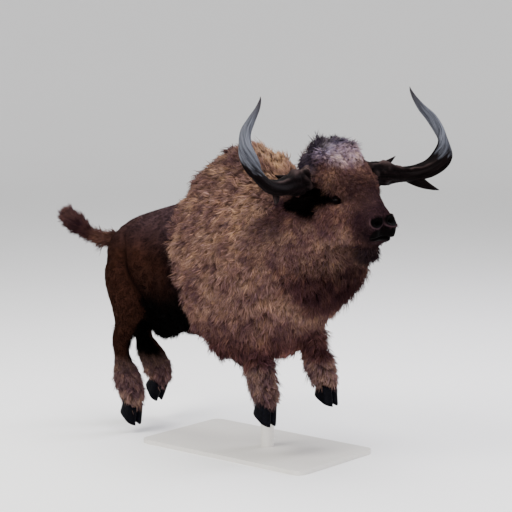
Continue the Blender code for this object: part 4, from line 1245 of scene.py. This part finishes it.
class WISENT_OT_limb_wool(bpy.types.Operator):
    """Shaggy forelegs and the stockings of the hind legs"""
    bl_idname = "wisent.limb_wool"
    bl_label = "Leg wool"

    def execute(self, context):
        skin = Skin()
        s = skin.shares
        tufts = grow(skin, np.maximum(s["foreleg"], s["stocking"]), 14, LONG,
                     context.scene.wisent_coat.limb_density)
        fore = tufts["root"][:, 0] > -0.4
        coat_piece("foreleg_wool", tufts, fore, wool_surface())
        coat_piece("hindleg_wool", tufts, ~fore, wool_surface())
        return {"FINISHED"}


class WISENT_OT_rump_hair(bpy.types.Operator):
    """Short flat hair of rump, thighs and belly"""
    bl_idname = "wisent.rump_hair"
    bl_label = "Rump hair"

    def execute(self, context):
        skin = Skin()
        s = skin.shares
        group = 1.0
        for longer in ("mane", "stocking", "tail", "head", "foreleg"):
            group = group * (1 - s[longer])
        tufts = grow(skin, group, 15, SHORT, context.scene.wisent_coat.rump_density)
        coat_piece("rump_hair", tufts, every(tufts), wool_surface())
        return {"FINISHED"}


class WISENT_OT_tail_hair(bpy.types.Operator):
    """Scruffy hair of the tail and its tuft"""
    bl_idname = "wisent.tail_hair"
    bl_label = "Tail hair"

    def execute(self, context):
        skin = Skin()
        tufts = grow(skin, skin.shares["tail"], 16, LOCK, context.scene.wisent_coat.tail_density)
        coat_piece("tail_hair", tufts, every(tufts), wool_surface())
        return {"FINISHED"}


# ---------------------------------------------------------------- horns, ears, eyes, hooves
def ring_frame(path, guide):
    """Directions across a path at each point: one near guide, one square to it and the path."""
    along = unit(np.gradient(path, axis=0))
    b = unit(guide - along * (along @ guide)[:, None])
    return np.cross(b, along), b


def bulge(angle, centre, width):
    """A ridge round a tube: exp(-(turn from the centre / width)^2)."""
    away = (angle - centre + math.pi) % (2 * math.pi) - math.pi
    return np.exp(-(away / width) ** 2)


def horn_shape(side, sizes):
    """The horn is an oval carried along its curve, worked out outward-positive and then put on
    its side: radius * oval * (1 + collar + lumps + knobs + ridges + rings). The angle runs from
    the front over the top. The oval is 0.64 by 1.04 of the radius in the horn's middle stretch,
    and up to 1.26 where it turns up, and a plain circle at both ends."""
    sign = SIDES[side]
    rows = curve_through(HORN, 14)
    path = rows[:, :3]
    steps = np.linalg.norm(np.diff(path, axis=0), axis=1)
    travelled = np.concatenate([[0], np.cumsum(steps)])
    upward = np.array((0.0, 0.0, 1.0))
    a, b = ring_frame(path, upward)
    a = -a
    turn = np.linspace(0, 2 * math.pi, sizes.horn_sides, endpoint=False)
    s, th = np.meshgrid(travelled, turn, indexing="ij")
    rough = 1 - ramp(s, 0.42, 0.76)
    sample = np.stack([0.10 * np.cos(th), 0.10 * np.sin(th), s + sign], -1).reshape(-1, 3)
    gnarl = ripple(sample, 0.11, 31).reshape(s.shape)
    lumps = ripple(sample, 0.075, 32).reshape(s.shape)
    root = np.exp(-((s - 0.25) / 0.10) ** 2)
    knobs = sum(np.exp(-((s - at) / 0.032) ** 2) * bulge(th, 1.45, 0.42) for at in (0.14, 0.30))
    narrow = th - 0.84
    wide = 1.04 + 0.22 * np.exp(-((s - 0.70) / 0.14) ** 2)
    oval = 1 / np.sqrt((np.cos(narrow) / 0.64) ** 2 + (np.sin(narrow) / wide) ** 2)
    oval = 1 + ramp(s, 0.30, 0.50) * (1 - ramp(s, 0.82, 1.05)) * (oval - 1)
    upper = bulge(th, 1.30 - 0.9 * (s - 0.15) + 0.15 * gnarl, 0.24)
    back = bulge(th, 2.45 + 0.4 * s + 0.15 * gnarl, 0.30)
    lower = bulge(th, -0.45 + 0.5 * s, 0.28)
    radius = rows[:, 3][:, None] * oval * (
        1 + 0.24 * root + 0.24 * root * lumps + 0.30 * knobs
        + rough * (0.20 * upper + 0.10 * back + 0.09 * lower - 0.07 * bulge(th, 0.42, 0.30)
                   + 0.045 * gnarl - 0.04
                   + 0.016 * np.sin(2 * math.pi * s / 0.026 + 2 * gnarl) * (s < 0.5)))
    grid = (path[:, None] + a[:, None] * (radius * np.cos(th))[..., None]
            + b[:, None] * (radius * np.sin(th))[..., None])
    # Where the ridges' painted highlight lies: the upper and back ridges, the root's lumps and the
    # knobs.
    crest = rough * np.clip(0.9 * upper ** 2 * ramp(gnarl, -0.8, 0.4) + 0.45 * back ** 2
                            + 0.35 * root * ramp(lumps, 0.3, 0.9) + 0.5 * knobs, 0, 1)
    shapes = [closed_tube(grid)]
    grains = [np.vstack([np.stack([np.cos(th), np.sin(th), s], -1).reshape(-1, 3),
                         (0, 0, 0), (0, 0, travelled[-1])])]
    ridge_highlights = [crest.ravel(), (0, 0)]
    for first, tip, thick in SPURS[side]:
        first, tip = np.array(first), np.array(tip)
        u = np.linspace(0, 1, 14)
        bend = np.sin(math.pi * u)[:, None] * upward * -0.014
        line = first + (tip - first) * u[:, None] + bend
        sa, sb = ring_frame(line, upward + 0.01)
        us, ths = np.meshgrid(u, turn, indexing="ij")
        wide = thick * (1.08 * (1 - us) ** 0.85 + 0.02) * (1 + 0.10 * np.sin(3 * ths + 5 * us))
        spur = (line[:, None] + sa[:, None] * (0.75 * wide * np.cos(ths))[..., None]
                + sb[:, None] * (0.8 * wide * np.sin(ths))[..., None])
        shapes.append(closed_tube(spur))
        start = travelled[np.argmin(np.linalg.norm(path - first, axis=1))]
        grains.append(np.vstack([np.stack([np.cos(ths), np.sin(ths), start + 0.2 * us],
                                          -1).reshape(-1, 3), (0, 0, start), (0, 0, start + 0.2)]))
        ridge_highlights += [(0.55 * bulge(ths, 0.9, 0.9) * ramp(us, 0.1, 0.6)).ravel(), (0, 0.5)]
    points, faces = joined(shapes)
    return from_head(points * (1, sign, 1)), faces, np.vstack(grains), np.concatenate(ridge_highlights)


class WISENT_OT_horns(bpy.types.Operator):
    """Both horns with their splinters, in place of the faceted solids"""
    bl_idname = "wisent.horns"
    bl_label = "Horns"

    def execute(self, context):
        sizes = context.scene.wisent_head
        surface = horn_keratin()
        for side in SIDES:
            points, faces, grain, crest = horn_shape(side, sizes)
            obj = mesh_object("horn_sheath_" + side, points, faces)
            put_attribute(obj, "Grain", "FLOAT_VECTOR", grain)
            put_attribute(obj, "Along", "FLOAT", grain[:, 2])
            put_attribute(obj, "Crest", "FLOAT", crest)
            face_outwards(obj)
            finish_piece(obj, surface, ("horn_" + side,))
        return {"FINISHED"}


def ear_shape(sign):
    """A drooping leaf: rings of a crescent, whose front wall follows the back wall at 45 % of its
    depth."""
    rows = curve_through(EAR, 7)
    path = rows[:, :3]
    along = unit(np.gradient(path, axis=0))
    back = unit(EAR_BACK - along * (along @ EAR_BACK)[:, None])
    edge = np.cross(along, back)
    a = np.linspace(0, math.pi, EAR_SIDES // 2 + 1)
    cosine = np.concatenate([np.cos(a), np.cos(a[::-1])[1:-1]])
    sine = np.concatenate([np.sin(a), 0.45 * np.sin(a[::-1])[1:-1]])
    grid = (path[:, None] + edge[:, None] * (rows[:, 3:4] * cosine)[..., None]
            + back[:, None] * (rows[:, 4:5] * sine)[..., None])
    return closed_tube(from_head(grid * (1, sign, 1)))


def ear_hair(leaf, side, rng, count=1500):
    """Hairs of an ear: four-faced spikes from points drawn over the leaf, laid towards its tip."""
    rings = leaf[:-2].reshape(-1, EAR_SIDES, 3)
    row, column = rng.integers(1, len(rings) - 2, count), rng.integers(0, EAR_SIDES, count)
    root, axis = rings[row, column], rings.mean(1)[row]
    out = unit(root - axis)
    tipward = unit(rings[-1].mean(0) - rings[0].mean(0))
    heading = unit(tipward + 0.40 * out + rng.normal(0, 0.14, (count, 3)) + (0, 0, -0.25))
    across = unit(np.cross(heading, out)) * 0.0024
    size = rng.uniform(0.020, 0.042, (count, 1))
    points = np.stack([root - across, root + across, root + out * 0.0024, root + heading * size], 1)
    tone = rng.uniform(0.8, 3.2, (count, 1, 1))
    shade = np.array((0.7, 0.7, 0.7, 1.2))[None, :, None]
    uv = np.stack([0.62 + 0.34 * row / len(rings),
                   (0.72 if side == "left" else 0.84) + 0.10 * column / EAR_SIDES], 1)
    patch = BAKE_PATCH * np.array(((-0.5, -0.5), (0.5, -0.5), (0.0, 0.0), (0.0, 0.5)))
    colour = np.ones((count, 4, 4))
    colour[..., :3] = coat_colour("black") * tone * shade
    return {"points": points, "faces": np.array(((0, 1, 2), (0, 3, 1), (1, 3, 2), (2, 3, 0))),
            "colour": colour, "uv": uv[:, None] + patch}


class WISENT_OT_ears(bpy.types.Operator):
    """Drooping black ears with hair all over them"""
    bl_idname = "wisent.ears"
    bl_label = "Ears"

    def execute(self, context):
        rng = np.random.default_rng(21)
        for side, sign in SIDES.items():
            points, faces = ear_shape(sign)
            obj = mesh_object("ear_leaf_" + side, points, faces)
            colour = np.tile((*coat_colour("black"), 1), (len(points), 1))
            put_attribute(obj, "Marking", "FLOAT_COLOR", colour)
            put_attribute(obj, "Bare", "FLOAT", np.zeros(len(points)))
            face_outwards(obj)
            finish_piece(obj, bpy.data.materials["wisent_hide"], ("ear_" + side,))
            hairs = ear_hair(points, side, rng)
            coat_piece("ear_hair_" + side, hairs, every(hairs), wool_surface())
        return {"FINISHED"}


def eyeball_shape():
    """The ball: a sphere of radius one about its own line of sight, with a cap raised by 6 %
    round the pole, and the same without the cap as its grain."""
    polar, about = np.meshgrid(np.linspace(0.04, math.pi - 0.04, 26),
                               np.linspace(0, 2 * math.pi, 36, endpoint=False), indexing="ij")
    ball = np.stack([np.sin(polar) * np.cos(about), np.sin(polar) * np.sin(about),
                     np.cos(polar)], -1)
    cornea = 1 + 0.06 * (1 - ramp(polar, 0.35, 0.75))
    grain = np.vstack([ball.reshape(-1, 3), (0, 0, 1), (0, 0, -1)])
    return ball * (EYE_RADIUS * cornea)[..., None], grain


def lid_shape(way, height, reach):
    """A lid: a strip from corner to corner whose free edge runs at the opening's height and whose
    root lies back in the brow, wrapped on a slightly larger ball. Way is 1 above and -1 below."""
    a, b = np.meshgrid(np.linspace(0, math.pi, 25), np.linspace(0, 1, 8), indexing="ij")
    opening = way * height * np.sin(a) ** 0.8
    elevation = opening + (way * reach - opening) * b
    azimuth = -0.98 * np.cos(a) * (1 + 0.25 * b)
    radius = EYE_RADIUS * (1.05 + 0.10 * np.sin(math.pi * np.minimum(b * 1.6, 1)) + 0.22 * b)
    outward = np.stack([np.sin(azimuth) * np.cos(elevation), np.sin(elevation),
                        np.cos(azimuth) * np.cos(elevation)], -1)
    front = outward * radius[..., None]
    inner = outward * (radius - LID_THICKNESS)[..., None]
    return np.concatenate([front, inner[:, ::-1]], 1)


class WISENT_OT_eyes(bpy.types.Operator):
    """Eyes with a bulging cornea, and the lids round them"""
    bl_idname = "wisent.eyes"
    bl_label = "Eyes"

    def execute(self, context):
        glass, hide = eye_glass(), bpy.data.materials["wisent_hide"]
        opening = context.scene.wisent_head.lid_opening
        for side, sign in SIDES.items():
            centre = from_head(np.array(EYE_CENTRE) * (1, sign, 1))
            look = unit(HEAD_AXES @ np.array((0.40, sign * 0.90, -0.02)))
            fore = unit(np.cross(look, HEAD_AXES[:, 2]) * -sign)
            up = np.cross(fore, look) * sign
            if up @ HEAD_AXES[:, 2] < 0:
                up = -up
            basis = np.stack([fore, up, look])
            ball, grain = eyeball_shape()
            points, faces = closed_tube(centre + ball @ basis)
            obj = mesh_object("eyeball_" + side, points, faces)
            put_attribute(obj, "Grain", "FLOAT_VECTOR", grain)
            face_outwards(obj)
            finish_piece(obj, glass, ("eye_" + side,))
            points, faces = joined([closed_tube(centre + lid_shape(*lid) @ basis)
                                    for lid in ((1, opening, 1.35), (-1, 0.7 * opening, 1.2))])
            lids = mesh_object("eyelids_" + side, points, faces)
            # Painted shade: the lids are near black, as in the shade round the eye.
            put_attribute(lids, "Marking", "FLOAT_COLOR",
                          np.tile((*coat_colour("eyelid"), 1), (len(points), 1)))
            put_attribute(lids, "Bare", "FLOAT", np.full(len(points), 0.15))
            face_outwards(lids)
            finish_piece(lids, hide)
        return {"FINISHED"}


def claw_shape(place, inner):
    """Half a cloven hoof: a blunt oval drawn out towards the toe, carried from sole to coronet
    while it shrinks and shifts back; the wall bulges a little between its growth rings. Gives
    the placed shape, and its grid before it is placed."""
    level = np.linspace(0, 1, 15)
    a = np.linspace(0, 2 * math.pi, 36, endpoint=False)
    h, th = np.meshgrid(level, a, indexing="ij")
    share = 1 - 0.24 * h + 0.015 * np.sin(math.pi * h)
    width = CLAW_WIDTH * (0.75 + 0.25 * share)
    c, s = np.cos(th), np.sin(th)
    x = 0.5 * CLAW_LENGTH * share * np.sign(c) * np.abs(c) ** 0.85
    y = 0.5 * width * np.sign(s) * np.abs(s) ** 0.75
    toe = np.maximum(c, 0) ** 3
    y = y * (1 - 0.45 * toe) - inner * 0.18 * width * toe
    y = np.clip(y, -0.47 * width, 0.47 * width)
    ring = 1 + 0.008 * np.sin(2 * math.pi * h * GROWTH_RINGS)
    grid = np.stack([x * ring + CLAW_TOE_SLOPE * (1 - h), y * ring, -CLAW_HEIGHT * (1 - h)], -1)
    edge = np.stack([grid[0, :, 0] * 0.9 + 0.005, grid[0, :, 1] * 0.88,
                     grid[0, :, 2] - 0.004 + 0 * a], -1)
    grid = np.concatenate([edge[None], grid])
    matrix = np.array(place)
    return closed_tube(grid @ matrix[:3, :3].T + matrix[:3, 3]), grid


class WISENT_OT_hooves(bpy.types.Operator):
    """Eight claws of the four cloven hooves"""
    bl_idname = "wisent.hooves"
    bl_label = "Hooves"

    def execute(self, context):
        surface = hoof_keratin()
        for (end, side), (x, z, track, tilt) in FEET.items():
            foot = (Matrix.Translation((x, track * SIDES[side], z))
                    @ Matrix.Rotation(math.radians(tilt), 4, "Y"))
            for which, across in (("outer", SIDES[side]), ("inner", -SIDES[side])):
                place = foot @ Matrix.Translation((0, across * CLAW_SPREAD, 0))
                (points, faces), local = claw_shape(place, across)
                node = "_".join(("hoof", end, side, which))
                obj = mesh_object(node.replace("hoof", "claw"), points, faces)
                grain = np.vstack([local.reshape(-1, 3), local[0].mean(0), local[-1].mean(0)])
                put_attribute(obj, "Grain", "FLOAT_VECTOR", grain)
                face_outwards(obj)
                finish_piece(obj, surface, (node,))
        return {"FINISHED"}


# ---------------------------------------------------------------- stand and stage
class WISENT_OT_stand(bpy.types.Operator):
    """Paint for the plain display stand"""
    bl_idname = "wisent.stand"
    bl_label = "Stand"

    def execute(self, context):
        surface = painted_steel("stand_powder_coat", "CFCCC6", 0.5)
        for name in ("stand_base", "stand_rod"):
            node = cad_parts[name]
            if not node.material_slots:
                node.data.materials.append(surface)
            for slot in node.material_slots:
                slot.material = surface
        return {"FINISHED"}


# Soft lights: place, share of the key's power, side, colour.
LIGHTS = (
    ("key", (-2.5, -6.0, 7.5), 1.0, 4.0, (1.0, 0.97, 0.93)),
    ("top", (0.0, 0.5, 7.0), 0.7, 5.0, (1.0, 1.0, 1.0)),
    ("rim", (2.5, 6.5, 6.0), 0.5, 3.0, (0.88, 0.84, 1.0)),
    ("fill", (6.5, -4.5, 1.8), 0.46, 4.0, (1.0, 0.97, 1.0)),
)
FLOOR_SIDES = 96


def floor_shape():
    """Floor and wall in one: a disc that turns up 17 m out and rises to 10 m all round."""
    reach = np.array((0.5, 4.0, 8.0, 12.0, 15.0, 17.0, 18.2, 19.2, 19.8, 20.0, 20.0))
    height = np.array((0.0, 0.0, 0.0, 0.0, 0.0, 0.0, 0.25, 1.0, 2.2, 3.8, 10.0))
    turn = np.linspace(0, 2 * math.pi, FLOOR_SIDES, endpoint=False)
    bowl = np.stack([reach[:, None] * np.cos(turn), reach[:, None] * np.sin(turn),
                     height[:, None] + 0 * turn], -1)
    points = np.vstack([bowl.reshape(-1, 3), (0, 0, 0)])
    j = np.arange(FLOOR_SIDES)
    middle = np.stack([j, (j + 1) % FLOOR_SIDES, np.full(FLOOR_SIDES, len(points) - 1)], -1)
    return points, [grid_faces(*bowl.shape[:2])[:, ::-1], middle]


class WISENT_OT_stage(bpy.types.Operator):
    """Floor, soft lights and camera"""
    bl_idname = "wisent.stage"
    bl_label = "Stage"

    def execute(self, context):
        stage = context.scene.wisent_stage
        floor = mesh_object("floor", *floor_shape())
        made, tree = new_material("studio_floor")
        shader = add_node(tree, "BsdfPrincipled", None, Base_Color=linear("F2F2F2"),
                          Roughness=0.9)
        add_node(tree, "OutputMaterial", None, Surface=shader)
        floor.data.materials.append(made)
        world = bpy.data.worlds.new("studio")
        world.use_nodes = True
        context.scene.world = world
        world.node_tree.nodes["Background"].inputs["Color"].default_value = (1, 1, 1, 1)
        world.node_tree.nodes["Background"].inputs["Strength"].default_value = stage.ambient
        target = Vector(stage.target)
        for name, place, share, width, hue in LIGHTS:
            light = bpy.data.lights.new(name, "AREA")
            light.energy, light.size, light.color = share * stage.key, width, hue
            holder = bpy.data.objects.new(name, light)
            holder.location = place
            holder.rotation_euler = (target - Vector(place)).to_track_quat("-Z", "Y").to_euler()
            context.scene.collection.objects.link(holder)
        azimuth, elevation = stage.azimuth, stage.elevation
        way = Vector((math.sin(azimuth) * math.cos(elevation),
                      -math.cos(azimuth) * math.cos(elevation), math.sin(elevation)))
        camera = bpy.data.cameras.new("camera")
        camera.lens = stage.lens
        camera.sensor_width = 36.0
        camera.clip_end = 200
        holder = bpy.data.objects.new("camera", camera)
        holder.location = target + way * stage.distance
        holder.rotation_euler = (-way).to_track_quat("-Z", "Y").to_euler()
        context.scene.collection.objects.link(holder)
        context.scene.camera = holder
        return {"FINISHED"}


# ---------------------------------------------------------------- sizes a user may change
class WisentSkinSizes(bpy.types.PropertyGroup):
    grain: FloatProperty(name="Grain", description="Grid spacing of the skin's surface",
                         default=0.010, min=0.006, max=0.02, unit="LENGTH")


class WisentCoatSizes(bpy.types.PropertyGroup):
    __annotations__ = {
        part.lower() + "_density": FloatProperty(
            name=part, description="Tufts of the " + part.lower() + ", as a share",
            default=1.0, min=0.05, max=1.3)
        for part in ("Mane", "Head", "Limb", "Rump", "Tail")}


class WisentColours(bpy.types.PropertyGroup):
    __annotations__ = {
        name: FloatVectorProperty(name=name.replace("_", " ").capitalize(), subtype="COLOR",
                                  description="Colour of hide and coat: " + name.replace("_", " "),
                                  default=linear(code, False), min=0.0, max=1.0)
        for name, code in COLOURS.items()}


class WisentHeadSizes(bpy.types.PropertyGroup):
    horn_sides: IntProperty(name="Horn sides", description="Faces round each horn",
                            default=56, min=24, max=72)
    lid_opening: FloatProperty(name="Lid opening", description="Half the opening of the eye",
                               default=0.15, subtype="ANGLE")


class WisentStageSizes(bpy.types.PropertyGroup):
    target: FloatVectorProperty(name="Target", description="Point the camera looks at",
                                default=(0.0, 0.0, 1.31), subtype="XYZ", unit="LENGTH")
    azimuth: FloatProperty(name="Azimuth", description="Camera's way round from the right side",
                           default=math.radians(40), subtype="ANGLE")
    elevation: FloatProperty(name="Elevation", description="Camera's height as an angle",
                             default=math.radians(8), subtype="ANGLE")
    distance: FloatProperty(name="Distance", description="Camera from its target",
                            default=12.0, unit="LENGTH")
    lens: FloatProperty(name="Lens", description="Focal length on a 36 mm frame",
                        default=126.56)
    key: FloatProperty(name="Key light", description="Power of the main light", default=900.0)
    ambient: FloatProperty(name="Ambient", description="Strength of the room's light",
                           default=0.75)


OPERATORS = (WISENT_OT_skin, WISENT_OT_mane, WISENT_OT_head_wool, WISENT_OT_limb_wool,
             WISENT_OT_rump_hair, WISENT_OT_tail_hair, WISENT_OT_horns, WISENT_OT_ears,
             WISENT_OT_eyes, WISENT_OT_hooves, WISENT_OT_stand, WISENT_OT_stage)
GROUPS = {"wisent_skin": WisentSkinSizes, "wisent_coat": WisentCoatSizes,
          "wisent_colours": WisentColours, "wisent_head": WisentHeadSizes,
          "wisent_stage": WisentStageSizes}


class WISENT_PT_panel(bpy.types.Panel):
    """Sizes and steps of the wisent"""
    bl_idname = "WISENT_PT_panel"
    bl_label = "Wisent"
    bl_space_type = "VIEW_3D"
    bl_region_type = "UI"
    bl_category = "Wisent"

    def draw(self, context):
        for name, group in GROUPS.items():
            box = self.layout.box()
            for field in group.__annotations__:
                box.prop(getattr(context.scene, name), field)
        for operator in OPERATORS:
            self.layout.operator(operator.bl_idname)


def register():
    """Makes the sizes, the steps and the panel known."""
    for group in GROUPS.values():
        bpy.utils.register_class(group)
    for operator in (*OPERATORS, WISENT_PT_panel):
        bpy.utils.register_class(operator)
    for name, group in GROUPS.items():
        setattr(bpy.types.Scene, name, PointerProperty(type=group))


def unregister():
    """Takes them away again."""
    for name in GROUPS:
        delattr(bpy.types.Scene, name)
    for operator in (WISENT_PT_panel, *reversed(OPERATORS)):
        bpy.utils.unregister_class(operator)
    for group in reversed(tuple(GROUPS.values())):
        bpy.utils.unregister_class(group)


def main():
    """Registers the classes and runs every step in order."""
    register()
    for operator in OPERATORS:
        family, step = operator.bl_idname.split(".")
        getattr(getattr(bpy.ops, family), step)()


if __name__ == "__main__":
    main()
